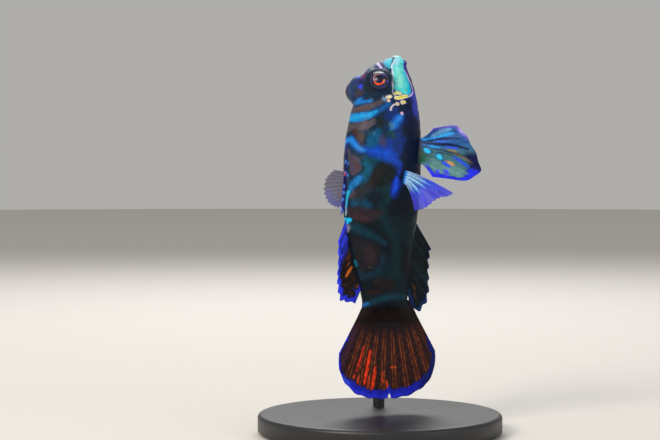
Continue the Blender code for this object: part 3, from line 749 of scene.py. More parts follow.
# These lie on the left side only
FAR_MARKS = (
    ("blue line over the far eye", "#3f62d8", 0.2, (
        (73.4, 112, 0.4), (72.8, 106, 0.5), (72.2, 100, 0.4))),
    ("grey far brow", "#4c4a62", 0.6, ((71.6, 114, 1.6), (70.4, 112, 1.8), (69.4, 108, 1.2))),
    ("violet side of the far brow", "#34409c", 0.6, (
        (71.6, 128, 1.0), (70.0, 130, 1.4), (68.8, 126, 1.0))),
)
for _, colour, soft, stops in FAR_MARKS:
    stroke(stops, colour, soft, both=False)
print(len(HEAD_MARKS) + len(FAR_MARKS), "marks on the head")

# %% Yellow dashes and dots
# Colour of the rim, colour of the core and stops of each
DASHES = (
    ("#f4f0e2", "#dcd85a", ((68.1, 28, 0.35), (68.45, 22, 0.45), (68.3, 14, 0.3))),
    ("#f6eedf", "#ded44c", (
        (67.3, 25, 0.4), (67.4, 18, 0.55), (67.7, 10, 0.55), (68.0, 2, 0.45), (68.1, -4, 0.3))),
    ("#f2dfea", "#e2d85a", ((66.5, 9, 0.6), (66.7, 4, 0.5))),
    ("#ead8ea", "#e4c452", ((66.1, 20, 0.55),)),
    ("#f6eef2", "#e6dc9a", ((67.2, 41, 0.5), (67.5, 36, 0.45))),
    ("#f0dcc4", "#e2a848", ((66.5, 38, 0.35),)),
)
for number, (rim, core, stops) in enumerate(DASHES):
    stroke(stops, "#122a66", 0.15, 0.7, grow=0.32, seed=200 + number)
    stroke(stops, rim, 0.1, grow=0.14, seed=200 + number, ragged=0.04)
    stroke(stops, core, 0.12, seed=200 + number, ragged=0.04)
# Name, colour, softness, extra width, raggedness and stops of each
SMALL_MARKS = (
    ("pale curl below the dashes", "#e4d4e6", 0.1, 0.0, 0.04, (
        (64.7, 32, 0.35), (65.3, 31, 0.3), (65.8, 27, 0.3), (66.0, 23, 0.25))),
    ("pink dot on the cheek", "#f4c6e0", 0.1, 0.0, 0.04, ((64.3, 8, 0.6),)),
    ("dark rim of the blue bar", "#06304a", 0.15, 0.25, 0.1, ((43.6, 96, 0.9), (43.4, 86, 1.1))),
    ("blue bar before the second dorsal", "#0ab0e6", 0.12, 0.0, 0.1, (
        (43.6, 96, 0.9), (43.4, 87, 1.0))),
    ("lilac-grey spot behind the bar", "#77759a", 0.4, 0.0, 0.1, ((42.2, 91, 1.1), (41.7, 90, 1.0))),
    ("pale spot before the bar", "#8fb0c8", 0.2, 0.0, 0.1, ((45.6, 90, 0.5), (44.9, 90, 0.5))),
    ("teal spot at the second dorsal", "#0f5f7c", 0.2, 0.0, 0.1, ((35.1, 82, 0.9), (34.6, 82, 1.0))),
    ("pale dash on the rear oval", "#8d96a0", 0.1, 0.0, 0.1, ((34.1, 57, 0.2), (33.9, 50, 0.2))),
    ("blue end of the tail base band", "#1a5aa0", 0.3, 0.0, 0.1, ((26.3, 84, 0.8), (26.5, 74, 0.7))),
    ("pale dash behind the gill pore", "#8da0aa", 0.1, 0.0, 0.1, ((60.35, 58, 0.16), (60.0, 52, 0.16))),
    ("blue dot on the back line", "#3a6cc8", 0.2, 0.0, 0.1, ((54.0, 90, 0.5),)),
    ("second blue dot on the back line", "#3a78d8", 0.2, 0.0, 0.1, ((52.1, 90, 0.6),)),
)
for _, colour, soft, grow, ragged, stops in SMALL_MARKS:
    stroke(stops, colour, soft, grow=grow, ragged=ragged)
print(len(DASHES) + len(SMALL_MARKS), "dashes and dots")

# %% [markdown]
# ## Markings: throat, mouth and lids
#
# Small round dots cover the throat. Their places come from a seeded random generator, so they are
# the same every time. The inside of the mouth and the nostrils are dark, and the lids take tones
# of their own. A fine mottle over everything keeps the colours from looking flat.

# %% Throat dots and the inside of the mouth
THROAT_DOTS, THROAT_TONES = 16, ("#3f96b4", "#a9b060", "#4a5ed0")
# Side of the head, blueness of the bulge round the eye, darkness of the lid
EYE_SKIN = ((1, 0.0, 0.75), (-1, 0.65, 0.4))

random = np.random.default_rng(5)
for number in range(THROAT_DOTS):
    spot = (random.uniform(61.0, 73.0), random.uniform(-74.0, -42.0), random.uniform(0.25, 0.5))
    stroke((spot,), THROAT_TONES[number % len(THROAT_TONES)], 0.15, 0.8, seed=230 + number)
in_gape = np.exp(-(((skin_level - MOUTH_LEVEL) / 0.26) ** 2))
in_gape = in_gape * ease((skin_height - MOUTH_CORNER - 0.2) / 0.6)
mix(paint, "#0b1432", 0.9 * in_gape)
for angle in (NOSTRIL_ANGLE, math.pi - NOSTRIL_ANGLE):
    hole = np.linalg.norm(skin_points - skin(NOSTRIL_HEIGHT, angle), axis=-1)
    mix(paint, "#0a2136", ease(1.0 - hole / 0.28))
for side, blue, dark in EYE_SKIN:
    away = skin_points - eye_centre(side)
    far = np.linalg.norm(away, axis=-1)
    mix(paint, "#26426e", blue * ease((3.7 - far) / 0.8))
    lid = ease((2.75 - far) / 0.35) * ease((from_eye_axis(away, far, side) - 0.8) / 0.2)
    mix(paint, "#141a30", dark * lid)
speckle = wobble(skin_points, 0.8, 31) * wobble(skin_points, 1.1, 32)
paint[..., :3] *= (1.0 + 0.12 * np.clip(speckle, -1.5, 1.5))[..., None]
print("throat and mouth painted")

# %% [markdown]
# ## Body skin: the mesh
#
# The points and their colours are ready, so faces can join them: a quad between each four
# neighbours, and a fan of triangles at either end. Three meshes would show a seam where they meet,
# and one closed mesh has none.

# %% One skin over head, trunk and stalk
def grid_faces(row_count, column_count, closed):
    """Quads between neighbouring points of a grid, joined round where it is closed."""
    across = column_count if closed else column_count - 1
    faces = []
    for r in range(row_count - 1):
        for c in range(across):
            n = (c + 1) % column_count
            faces.append((
                r * column_count + c, r * column_count + n,
                (r + 1) * column_count + n, (r + 1) * column_count + c,
            ))
    return faces


faces = grid_faces(len(rows), RING_POINTS, True)
tip = len(rows) * RING_POINTS
ends = np.vstack((skin_points[0].mean(axis=0), skin_points[-1].mean(axis=0)))
for k in range(RING_POINTS):
    n = (k + 1) % RING_POINTS
    faces.append((tip, n, k))
    faces.append((tip + 1, tip - RING_POINTS + k, tip - RING_POINTS + n))
all_points = np.vstack((skin_points.reshape(-1, 3), ends))
all_paint = np.vstack((paint.reshape(-1, 4), paint[0].mean(axis=0), paint[-1].mean(axis=0)))
fish_skin = new_mesh("fish_skin", all_points, faces, all_paint, slimy_skin)
finish_piece(fish_skin, "body_skin", "head", "trunk", "tail_stalk")

# %% [markdown]
# ## Eyes
#
# A fish's eye is a ball with a flat iris behind a clear, bulging front. Here the iris is nearly
# black, with a ring round the pupil that is orange-red below; above it, the pink of a thin ring is a
# painted highlight. A texture could hold the iris, but here the ball is a sphere whose pole is the
# pupil, so that rings of points follow the iris and carry its colours. The front bulges by a few
# hundredths of a millimetre and catches the light.


# %% Eyeballs
def eye_material():
    """Wet cornea over a painted iris: a clear, soft shine over flecked pigment."""
    material, tree, shader = new_material("wet_cornea_over_iris")
    paint_of = add_node(tree, "ShaderNodeAttribute", attribute_name="paint")
    where = add_node(tree, "ShaderNodeTexCoord").outputs["Object"]
    fleck = add_node(tree, "ShaderNodeTexNoise", {"Scale": 6000.0, "Detail": 2.0}, {"Vector": where})
    tone = add_node(
        tree, "ShaderNodeMapRange", {"From Min": 0.3, "From Max": 0.7, "To Min": 0.75, "To Max": 1.25},
        {"Value": fleck.outputs["Fac"]},
    )
    colour = add_node(
        tree, "ShaderNodeVectorMath", None,
        {0: paint_of.outputs["Color"], "Scale": tone.outputs["Result"]}, operation="SCALE",
    )
    tree.links.new(colour.outputs["Vector"], shader.inputs["Base Color"])
    shader.inputs["Roughness"].default_value = 0.3
    shader.inputs["IOR"].default_value = 1.376
    shader.inputs["Coat Weight"].default_value = 0.4
    shader.inputs["Coat Roughness"].default_value = 0.14
    shader.inputs["Coat IOR"].default_value = 1.376
    return material


wet_eye = eye_material()
PUPIL_EDGE, THIN_RING_EDGE, BROAD_RING_EDGE = 0.95, 1.13, 1.27


def make_eye(name, side):
    """Eyeball with its pole at the pupil, painted from the pupil outward."""
    gaze = eye_gaze(side)
    _, forward, dorsal, right = body_frame(EYE_HEIGHT)
    up = unit(forward - gaze * (forward @ gaze))
    aside = np.cross(gaze, up) * side
    theta = np.concatenate((np.linspace(0.0, 0.6, 26), np.linspace(0.62, math.pi, 30)))
    turn = np.linspace(0.0, 2.0 * math.pi, 72, endpoint=False)
    t, a = np.meshgrid(theta, turn, indexing="ij")
    bulge = EYE_RADIUS * (1.0 + 0.03 * np.exp(-((t / 0.5) ** 2)))
    ray = np.cos(t)[..., None] * gaze + (np.sin(t) * np.cos(a))[..., None] * up
    ray = ray + (np.sin(t) * np.sin(a))[..., None] * aside
    points = eye_centre(side) + ray * bulge[..., None]
    out = EYE_RADIUS * np.sin(np.minimum(t, math.pi / 2.0)) + 0.05 * np.sin(3.0 * a + 1.0) * np.sin(t)
    colours = painted(t.shape, "#0a1020")
    way = np.degrees(a) % 360.0
    mix(colours, "#1a2266", ease(1.0 - np.abs(way - 205.0) / 50.0) * ease((out - 1.3) / 0.3))
    mix(colours, "#33207a", ease(1.0 - np.abs(way - 315.0) / 35.0) * ease((1.9 - out) / 0.4))
    mix(colours, "#26245e", ease(1.0 - np.abs(way - 80.0) / 50.0) * ease((out - 1.2) / 0.3))
    mix(colours, "#5a3ac0", ease(1.0 - np.abs(way - 261.0) / 9.0) * ease((out - 1.4) / 0.15))
    spokes = 0.5 + 0.5 * np.sin(a * 11.0 + 1.5 * np.sin(2.0 * a))
    mix(colours, "#2c4a8a", 0.3 * spokes**4 * ease((out - 1.35) / 0.2) * ease((2.1 - out) / 0.3))
    # The pink on the thin ring above the pupil is a painted highlight, not pigment.
    pink = ease((way - 340.0) / 15.0) + ease((118.0 - way) / 12.0)
    orange = ease((way - 112.0) / 12.0) * ease((268.0 - way) / 10.0)
    ring = ease((out - PUPIL_EDGE) / 0.05)
    thin = ring * ease((THIN_RING_EDGE - out) / 0.06)
    broad = ring * ease((BROAD_RING_EDGE + 0.04 * np.sin(5.0 * a) - out) / 0.08)
    # Painted highlight: pink on the thin ring above the pupil.
    mix(colours, "#e59aa8", thin * pink)
    mix(colours, "#ff4d16", broad * orange)
    mix(colours, "#ff8a3c", broad * orange * ease((way - 225.0) / 20.0))
    mix(colours, "#15103c", ease((PUPIL_EDGE - out) / 0.1))
    mix(colours, "#070712", ease((0.8 - out) / 0.3) * ease((np.cos(a + 0.6) + 0.7) / 0.6))
    faces = grid_faces(len(theta), len(turn), True)
    ball = new_mesh(name + "_ball", points.reshape(-1, 3), faces, colours.reshape(-1, 4), wet_eye)
    weld(ball, 1e-6)
    finish_piece(ball, "eye_wet", name)


make_eye("eye_right", 1)
make_eye("eye_left", -1)

# %% [markdown]
# ## Fins: the sheet
#
# A fin is a thin skin stretched over bony rays. Its middle surface is a rule of two numbers: u
# counts the rays, and t runs along a ray from the root, 0, to the edge, 1. The sheet is a grid
# over u and t with a face on each side, closed round the rim, sunk between the rays and scalloped
# where the skin hangs back between two ray tips. The root starts inside the body, so that it
# leaves the flank without a gap. Marks on a fin are spindles between stops of u and t.

# %% Fin sheet
SLOPE_STEP = 0.01


def fin_sheet(name, middle, shape, paint_fin, material):
    """Closed thin sheet on a middle surface, with folds between the rays and a scalloped edge."""
    rays, per_ray, steps = shape["rays"], shape["per_ray"], shape["steps"]
    u = np.linspace(0.0, rays - 1.0, per_ray * (rays - 1) + 1)
    t = np.linspace(shape["root"], 1.0, steps)
    uu, tt = np.meshgrid(u, t, indexing="ij")
    trimmed = tt * fin_trim(uu, shape)
    flat = middle(uu, trimmed)
    before, after = np.maximum(uu - SLOPE_STEP, 0.0), np.minimum(uu + SLOPE_STEP, rays - 1.0)
    across = middle(after, trimmed) - middle(before, trimmed)
    along = middle(uu, trimmed + SLOPE_STEP) - middle(uu, trimmed - SLOPE_STEP)
    normal = unit(np.cross(across, along))
    hang = np.sin(math.pi * np.clip(uu - shape["first"], 0.0, rays)) ** 2
    way = np.clip(tt, 0.0, 1.0)
    wave = shape["wave"] * way**1.5 * np.sin(uu * shape["waves"] + 2.0 * way)
    grid = flat + normal * (wave - shape["fold"] * way * hang)[..., None]
    half = shape["thick"] * (1.0 - 0.55 * way) + shape["root_thick"] * (1.0 - ease(way / 0.25))
    half = half * (0.35 + 0.65 * ease((1.0 - way) / 0.06))
    spacing = np.linalg.norm(across, axis=-1) / (after - before)
    length = np.linalg.norm(grid[:, -1] - grid[:, 0], axis=-1)[:, None]
    edge = np.minimum((1.0 - way) * length, np.minimum(uu, rays - 1.0 - uu) * spacing + 0.02)
    colours = paint_fin(uu, way, edge, flat)
    both = np.concatenate((grid + normal * half[..., None], grid - normal * half[..., None]))
    count = grid.shape[0] * grid.shape[1]
    faces = grid_faces(grid.shape[0], grid.shape[1], False)
    faces += [tuple(count + v for v in reversed(face)) for face in faces]
    columns = grid.shape[0]
    rim = [c * steps for c in range(columns)] + [(columns - 1) * steps + r for r in range(1, steps)]
    rim += [c * steps + steps - 1 for c in range(columns - 2, -1, -1)] + list(range(steps - 2, 0, -1))
    for i, a in enumerate(rim):
        b = rim[(i + 1) % len(rim)]
        faces.append((a, b, count + b, count + a))
    colours = np.concatenate((colours, colours)).reshape(-1, 4)
    return new_mesh(name, both.reshape(-1, 3), faces, colours, material)


def fin_trim(u, shape):
    """How far the skin reaches at ray u: less between two rays, and less in a cleft."""
    scallop = 1.0 - shape["dip"] * np.sin(math.pi * (u - shape["first"])) ** 2
    for at, depth, width in shape.get("clefts", ()):
        scallop = scallop - depth * np.exp(-(((u - at) / width) ** 2))
    return scallop


SPINDLE_POINTS = 7


def streak(colours, points, middle, stops, width, colour, soft=0.15, ragged=0.05):
    """Lay a narrow spindle on a fin along stops of ray number and share of the ray's length."""
    stops = np.array(stops, dtype=float)
    along = np.linspace(0.0, 1.0, SPINDLE_POINTS)
    u, t = (np.interp(along, np.linspace(0.0, 1.0, len(stops)), stops[:, k]) for k in range(2))
    half = width / 2.0 * np.interp(along, (0.0, 0.3, 0.75, 1.0), (0.45, 1.0, 1.0, 0.5))
    gap = from_line(points, middle(u, t), half) + ragged * wobble(points, 0.5, 94)
    mix(colours, colour, ease(0.5 - gap / (2.0 * soft)))


print("fin sheet helper ready")

# %% [markdown]
# ## Fins: the rays
#
# Each ray leaves the body as one rod and forks towards the edge, where it is as thin as a hair.
# The rays are lines of points on the fin's middle surface, and a Geometry Nodes tree turns every
# line into a tapered tube: it is the same step for about 70 rays and for the stand's rod. Each
# point carries its thickness and its colour, and both pass to the tube.


# %% Tubes from lines
def tube_tree():
    """Geometry Nodes: lines of points become round tubes with each point's own thickness."""
    tree = bpy.data.node_groups.new("tubes_from_lines", "GeometryNodeTree")
    tree.interface.new_socket("Geometry", in_out="INPUT", socket_type="NodeSocketGeometry")
    sides = tree.interface.new_socket("Sides", in_out="INPUT", socket_type="NodeSocketInt")
    sides.default_value = 8
    tree.interface.new_socket("Material", in_out="INPUT", socket_type="NodeSocketMaterial")
    tree.interface.new_socket("Geometry", in_out="OUTPUT", socket_type="NodeSocketGeometry")
    given = add_node(tree, "NodeGroupInput")
    thick = add_node(tree, "GeometryNodeInputNamedAttribute", {"Name": "thickness"}, data_type="FLOAT")
    ring = add_node(
        tree, "GeometryNodeCurvePrimitiveCircle", {"Radius": 1.0}, {"Resolution": given.outputs["Sides"]}
    )
    lines = add_node(tree, "GeometryNodeMeshToCurve", None, {"Mesh": given.outputs["Geometry"]})
    tubes = add_node(
        tree, "GeometryNodeCurveToMesh", {"Fill Caps": True},
        {"Curve": lines.outputs["Curve"], "Profile Curve": ring.outputs["Curve"],
         "Scale": thick.outputs["Attribute"]},
    )
    real = add_node(tree, "GeometryNodeRealizeInstances", None, {"Geometry": tubes.outputs["Mesh"]})
    coated = add_node(
        tree, "GeometryNodeSetMaterial", None,
        {"Geometry": real.outputs["Geometry"], "Material": given.outputs["Material"]},
    )
    add_node(tree, "NodeGroupOutput", None, {"Geometry": coated.outputs["Geometry"]})
    return tree


tubes_from_lines = tube_tree()


def make_tubes(name, lines, sides, material):
    """Tubes along lines: each line is its points, its radii and its colours."""
    points, radii, colours, edges = [], [], [], []
    for line, radius, colour in lines:
        start = sum(len(part) for part in points)
        points.append(line)
        radii.append(radius)
        colours.append(colour)
        edges += [(start + k, start + k + 1) for k in range(len(line) - 1)]
    mesh = bpy.data.meshes.new(name + "_lines")
    mesh.from_pydata((np.vstack(points) * MM).tolist(), edges, [])
    thickness = mesh.attributes.new("thickness", "FLOAT", "POINT")
    thickness.data.foreach_set("value", (np.concatenate(radii) * MM).astype(np.float32))
    layer = mesh.attributes.new("paint", "FLOAT_COLOR", "POINT")
    layer.data.foreach_set("color", np.vstack(colours).astype(np.float32).ravel())
    guide = bpy.data.objects.new(name + "_lines", mesh)
    bpy.context.scene.collection.objects.link(guide)
    modifier = guide.modifiers.new("tubes", "NODES")
    modifier.node_group = tubes_from_lines
    for item in tubes_from_lines.interface.items_tree:
        if item.name == "Sides":
            modifier[item.identifier] = sides
        if item.name == "Material":
            modifier[item.identifier] = material
    graph = bpy.context.evaluated_depsgraph_get()
    result = bpy.data.meshes.new_from_object(guide.evaluated_get(graph))
    result.name = name
    result.shade_smooth()
    bpy.data.objects.remove(guide, do_unlink=True)
    tubes = bpy.data.objects.new(name, result)
    bpy.context.scene.collection.objects.link(tubes)
    return tubes


RAY_STEP = 0.02


def ray_lines(middle, shape, paint_fin, tint):
    """Forked rays of one fin: a rod to the fork, then branches that spread towards the edge.

    They are painted like the membrane that they lie in, then tinted as bone shining through.
    """
    lines = []
    thick, tip = shape["ray"]
    fork, spread, branches = shape["fork"], shape["spread"], shape["branches"]
    rays = np.arange(shape["first"], shape["rays"] - 1 + 1e-6)
    for ray in np.clip(rays, 0.04, shape["rays"] - 1.04):
        for branch in range(branches):
            aside = (branch / (branches - 1) - 0.5) * 2.0 * spread if branches > 1 else 0.0
            t = np.linspace(shape["root"] if branch == 0 else fork, 1.0, 40 if branch == 0 else 26)
            u = ray + aside * ease((t - fork) / 0.35)
            u = np.clip(u, 0.03, shape["rays"] - 1.03)
            way = np.clip(t, 0.0, 1.0)
            wave = shape["wave"] * way**1.5 * np.sin(u * shape["waves"] + 2.0 * way)
            trim = fin_trim(np.full(t.shape, ray), shape)
            flat = middle(u, t * trim * 0.97)
            across = middle(u + RAY_STEP, t * trim) - middle(u - RAY_STEP, t * trim)
            along = middle(u, t * trim + RAY_STEP) - middle(u, t * trim - RAY_STEP)
            line = flat + unit(np.cross(across, along)) * wave[..., None]
            root, end = middle(np.full(2, ray), np.array((0.0, 1.0)))
            edge = (1.0 - way) * np.linalg.norm(end - root)
            radius = tip + (thick - tip) * (1.0 - way) ** 0.8
            if branch > 0:
                radius = radius * 0.85
            colours = paint_fin(u, way, edge, flat)
            tint(colours, u, way, flat)
            lines.append((line, radius, colours))
    return lines


print("rays can be drawn")

# %% [markdown]
# ## Tail fin
#
# The tail fin is a rounded fan of dark reddish brown with a broad ultramarine edge. The rays show
# as pairs of orange-brown lines, and in the lower part of the back half some are bright orange.


# %% Tail fin
CAUDAL = {
    "rays": 11, "per_ray": 26, "steps": 84, "root": -0.12, "first": 0.6, "dip": 0.012, "thick": 0.13,
    "root_thick": 0.3, "fold": 0.12, "wave": 0.16, "waves": 0.9, "ray": (0.17, 0.06), "fork": 0.1,
    "spread": 0.15, "branches": 2, "clefts": ((5.15, 0.05, 0.08), (7.4, 0.012, 0.3), (1.8, 0.012, 0.3)),
}
CAUDAL_FAN = math.radians(28.3)
CAUDAL_LENGTH, CAUDAL_EDGE_CUT, CAUDAL_ROUNDNESS = 18.9, 0.44, 3.2
CAUDAL_MID, CAUDAL_ROOT_HALF, GAP = -1.6, 5.4, 0.3


def caudal_middle(u, t):
    """Middle surface of the rounded tail fin."""
    share = 1.0 - u / (CAUDAL["rays"] - 1) * 2.0
    angle = share * CAUDAL_FAN
    length = CAUDAL_LENGTH * (1.0 - CAUDAL_EDGE_CUT * np.abs(share) ** CAUDAL_ROUNDNESS)
    height = CAUDAL_BASE - GAP - length * t * np.cos(angle)
    level = CAUDAL_MID + share * CAUDAL_ROOT_HALF + length * t * np.sin(angle)
    return place(height, 0.0, level)


# Stops of u and t, width and colour of each
TAIL_STREAKS = (
    (((2.3, 0.46), (2.25, 0.6), (2.2, 0.76)), 0.35, "#d83412"),
    (((3.1, 0.48), (3.1, 0.66), (3.05, 0.86)), 0.55, "#f03c10"),
    (((3.85, 0.66), (3.8, 0.8), (3.75, 0.92)), 0.5, "#e43a12"),
    (((2.55, 0.8), (2.5, 0.88)), 0.3, "#e84a1a"),
    (((2.15, 0.8), (2.1, 0.87)), 0.3, "#c23c16"),
    (((3.4, 0.76), (3.4, 0.88)), 0.3, "#d84418"),
    (((4.55, 0.7), (4.6, 0.84)), 0.3, "#c4441a"),
    (((4.95, 0.8), (5.0, 0.9)), 0.35, "#e0501c"),
    (((5.3, 0.66), (5.8, 0.66)), 0.3, "#c8501c"),
)


def tail_margin(u, t, points):
    """Width of the blue edge: none near the root, thin on the sides, broad below."""
    side = ease((t - 0.46 - 0.06 * ease((u - 8.0) / 1.0)) / 0.2)
    width = 0.7 + 1.2 * ease((u - 0.8) / 1.6) - 0.3 * ease((u - 9.0) / 0.8)
    return side * (width + 0.22 * wobble(points, 1.3, 71)) + 0.5 * (side - 1.0)


def paint_tail(u, t, edge, points):
    """Dark maroon membrane: twin orange-brown lines, brown speckle, orange streaks, a blue edge."""
    colours = painted(u.shape, "#200e16")
    mix(colours, "#140f10", 1.0 - ease((t - 0.14) / 0.2))
    from_ray = np.abs((u - CAUDAL["first"] + 0.5) % 1.0 - 0.5)
    fan_width = 2.0 * CAUDAL_ROOT_HALF + 2.0 * CAUDAL_LENGTH * t * math.sin(CAUDAL_FAN)
    spacing = fan_width / (CAUDAL["rays"] - 1)
    side_lines = ease((0.15 - np.abs(from_ray - 0.36) * spacing) / 0.15)
    twin_lines = ease((0.17 - np.abs(from_ray - 0.14) * spacing) / 0.15)
    dotted = 0.6 + 0.4 * np.clip(wobble(points, 0.3, 75), -1.0, 1.0)
    broken = dotted * (0.25 + 0.75 * ease(wobble(points, 1.6, 73) + 0.6))
    shown = broken * ease((t - 0.2) / 0.26) * ease((9.8 - u) / 1.2) * ease((u - 0.2) / 1.2)
    mix(colours, "#3c1a14", 0.8 * ease((0.36 - from_ray) / 0.2) * ease((t - 0.24) / 0.3))
    mix(colours, "#54301a", 0.7 * shown * side_lines)
    mix(colours, "#a85420", shown * twin_lines)
    speckle = wobble(points, 0.4, 72) * wobble(points, 0.5, 74)
    mix(colours, "#5e3a1c", 0.5 * ease((speckle - 0.2) / 0.4) * ease((t - 0.25) / 0.2))
    mix(colours, "#2c1c3c", 0.7 * ease((1.2 - u) / 0.8) * ease((t - 0.25) / 0.2))
    for stops, width, colour in TAIL_STREAKS:
        streak(colours, points, caudal_middle, stops, width, colour, soft=0.22, ragged=0.12)
    width = tail_margin(u, t, points) * (1.0 + 0.25 * ease((t - 0.85) / 0.1))
    mix(colours, "#0e1140", ease((width + 0.45 - edge) / 0.7))
    mix(colours, "#1822b4", ease((width - 0.15 - edge) / 0.35 + 0.2) * ease((8.4 - u) / 1.2))
    mix(colours, "#0d1a66", ease((width - 0.1 - edge) / 0.4 + 0.2) * ease((u - 7.2) / 1.2))
    mix(colours, "#2a36e4", 0.8 * ease((width * 0.5 - edge) / 0.4) * ease((7.0 - u) / 1.5))
    mix(colours, "#3a5af0", 0.7 * ease(1.0 - np.abs(u - 1.6) / 0.5) * ease((1.2 - edge) / 0.5))
    return colours


def tint_tail_ray(colours, u, t, points):
    """Orange-brown bone that shows from a quarter of the way out to the edge."""
    broken = 0.3 + 0.7 * ease(wobble(points, 1.6, 73) + 0.4)
    shown = broken * ease((t - 0.26) / 0.26) * ease((0.86 - t) / 0.1)
    mix(colours, "#6e3616", 0.6 * shown * ease((9.6 - u) / 0.8) * ease((u - 0.3) / 0.8))
    for stops, width, colour in TAIL_STREAKS:
        streak(colours, points, caudal_middle, stops, width, colour)


tail_fin = fin_sheet("tail_fin", caudal_middle, CAUDAL, paint_tail, fin_membrane)
finish_piece(tail_fin, "tail_fin_skin", "caudal_fin")
tail_lines = ray_lines(caudal_middle, CAUDAL, paint_tail, tint_tail_ray)
tail_rays = make_tubes("tail_fin_rays", tail_lines, 8, fin_ray)
finish_piece(tail_rays, "tail_fin_skin")

# %% [markdown]
# ## Fins on the back and belly
#
# The first dorsal fin lies folded back along the spine as a thin violet strip. The second dorsal
# and the anal fin stand half raised: dark brown to black membranes with a blue edge that is broad
# on the dorsal and dark on the anal fin, and small orange marks between the rays.

# %% Fins on the midline
FIRST_DORSAL = {
    "rays": 4, "per_ray": 14, "steps": 70, "root": -0.03, "first": 0.0, "dip": 0.06, "thick": 0.13,
    "root_thick": 0.05, "fold": 0.08, "wave": 0.1, "waves": 1.7, "ray": (0.16, 0.05), "fork": 0.5,
    "spread": 0.0, "branches": 1, "front": 58.4, "back": 51.6, "side": 1,
    "length": (14.0, 11.4, 8.8, 6.2), "rise": (4.2, 3.6, 2.9, 2.0), "follow": 1.0,
}
SECOND_DORSAL = {
    "rays": 9, "per_ray": 12, "steps": 56, "root": -0.16, "first": 0.0, "dip": 0.08, "thick": 0.13,
    "root_thick": 0.08, "fold": 0.12, "wave": 0.22, "waves": 1.3, "ray": (0.17, 0.05), "fork": 0.45,
    "spread": 0.16, "branches": 2, "front": 43.5, "back": 29.4, "side": 1,
    "length": (4.6, 5.1, 5.5, 6.0, 6.3, 6.5, 6.6, 5.0, 3.0),
    "rise": (19, 19.6, 21.3, 24, 26.7, 28.9, 30, 32, 21.5),
    "follow": 0.0,
}
ANAL = {
    "rays": 8, "per_ray": 12, "steps": 56, "root": -0.14, "first": 0.0, "dip": 0.08, "thick": 0.13,
    "root_thick": 0.08, "fold": 0.12, "wave": 0.25, "waves": 1.4, "ray": (0.17, 0.05), "fork": 0.45,
    "spread": 0.16, "branches": 2, "front": 43.2, "back": 28.8, "side": -1,
    "length": (6.8, 6.45, 6.5, 6.8, 7.35, 7.5, 6.75, 3.3),
    "rise": (30, 32.5, 34.3, 34.4, 33, 30, 22, 10),
    "follow": 0.0,
}


def along_rays(values, u):
    """Smooth value at ray u from one value for each ray."""
    values = np.array(values, dtype=float)
    return hermite(np.arange(len(values), dtype=float), values, u)


def median_fin(shape):
    """Middle surface of a fin on the midline, swept back by each ray's length and rise."""
    def middle(u, t):
        share = u / (shape["rays"] - 1)
        height = shape["front"] + (shape["back"] - shape["front"]) * share
        length = along_rays(shape["length"], u)
        rise = np.radians(along_rays(shape["rise"], u))
        back = length * t * np.cos(rise)
        level = section(height - shape["follow"] * back, 1 if shape["side"] > 0 else 2)
        return place(height - back, 0.0, level + shape["side"] * length * t * np.sin(rise))
    return middle


FIRST_DORSAL_DOTS = ((0.3, 0.2), (0.8, 0.3), (0.3, 0.55), (0.9, 0.62), (0.4, 0.75), (0.3, 0.9))


def paint_first_dorsal(u, t, edge, points):
    """Thin dark-violet membrane with a few blue dots and one red spot."""
    middle = median_fin(FIRST_DORSAL)
    colours = painted(u.shape, "#1c1a48")
    mix(colours, "#2c2c8c", 0.8 * ease(wobble(points, 1.6, 81)))
    mix(colours, "#3a3cc0", ease((0.35 - edge) / 0.3))
    for ray, share in FIRST_DORSAL_DOTS:
        streak(colours, points, middle, ((ray, share), (ray, share + 0.02)), 0.5, "#4a86e8")
    streak(colours, points, middle, ((0.15, 0.385), (0.25, 0.405)), 0.5, "#f04a3a")
    return colours


SECOND_DORSAL_STREAKS = (
    (((3.7, 0.06), (3.6, 0.3)), 0.55, "#54280f"),
    (((5.0, 0.12), (4.95, 0.3), (4.95, 0.46)), 0.55, "#c8661a"),
    (((4.3, 0.15), (4.2, 0.32)), 0.3, "#6a3416"),
    (((7.3, 0.06), (7.2, 0.24)), 0.4, "#6a3a1c"),
)


def paint_second_dorsal(u, t, edge, points):
    """Ultramarine in front, behind it dark brown with orange streaks and a broad blue edge."""
    middle = median_fin(SECOND_DORSAL)
    colours = painted(u.shape, "#120e14")
    mix(colours, "#3a2014", 0.6 * ease((wobble(points, 0.9, 82) - 0.2) / 0.5))
    for stops, width, colour in SECOND_DORSAL_STREAKS:
        streak(colours, points, middle, stops, width, colour)
    mix(colours, "#1c2296", ease((3.4 - u) / 0.9) * ease((t - 0.02) / 0.1))
    mix(colours, "#2a3cd8", 0.8 * ease((3.0 - u) / 1.0) * ease(wobble(points, 1.5, 83) + 0.3))
    width = 1.55 - 0.5 * ease((u - 6.2) / 1.4) + 0.25 * wobble(points, 1.7, 84)
    mix(colours, "#10185c", ease((width + 0.35 - edge) / 0.5))
    mix(colours, "#2630d4", ease((width - 0.1 - edge) / 0.4 + 0.3))
    mix(colours, "#3c50f4", 0.7 * ease((width * 0.5 - edge) / 0.4) * ease((6.0 - u) / 1.5))
    return colours


def paint_anal(u, t, edge, points):
    """Nearly black teal membrane, two faint brown marks, a dark-blue hind lobe."""
    middle = median_fin(ANAL)
    colours = painted(u.shape, "#081218")
    mix(colours, "#0a2028", 0.8 * ease(wobble(points, 2.4, 85)))
    streak(colours, points, middle, ((5.5, 0.25), (5.6, 0.42)), 0.4, "#4a2a18")
    streak(colours, points, middle, ((5.9, 0.4), (6.0, 0.55)), 0.35, "#54301a")
    lobe = ease((1.3 + 0.3 * wobble(points, 1.7, 87) - edge) / 0.6) * ease((u - 4.3) / 1.0)
    mix(colours, "#0b2a5c", lobe)
    mix(colours, "#14306c", 0.8 * ease((0.45 - edge) / 0.3))
    return colours


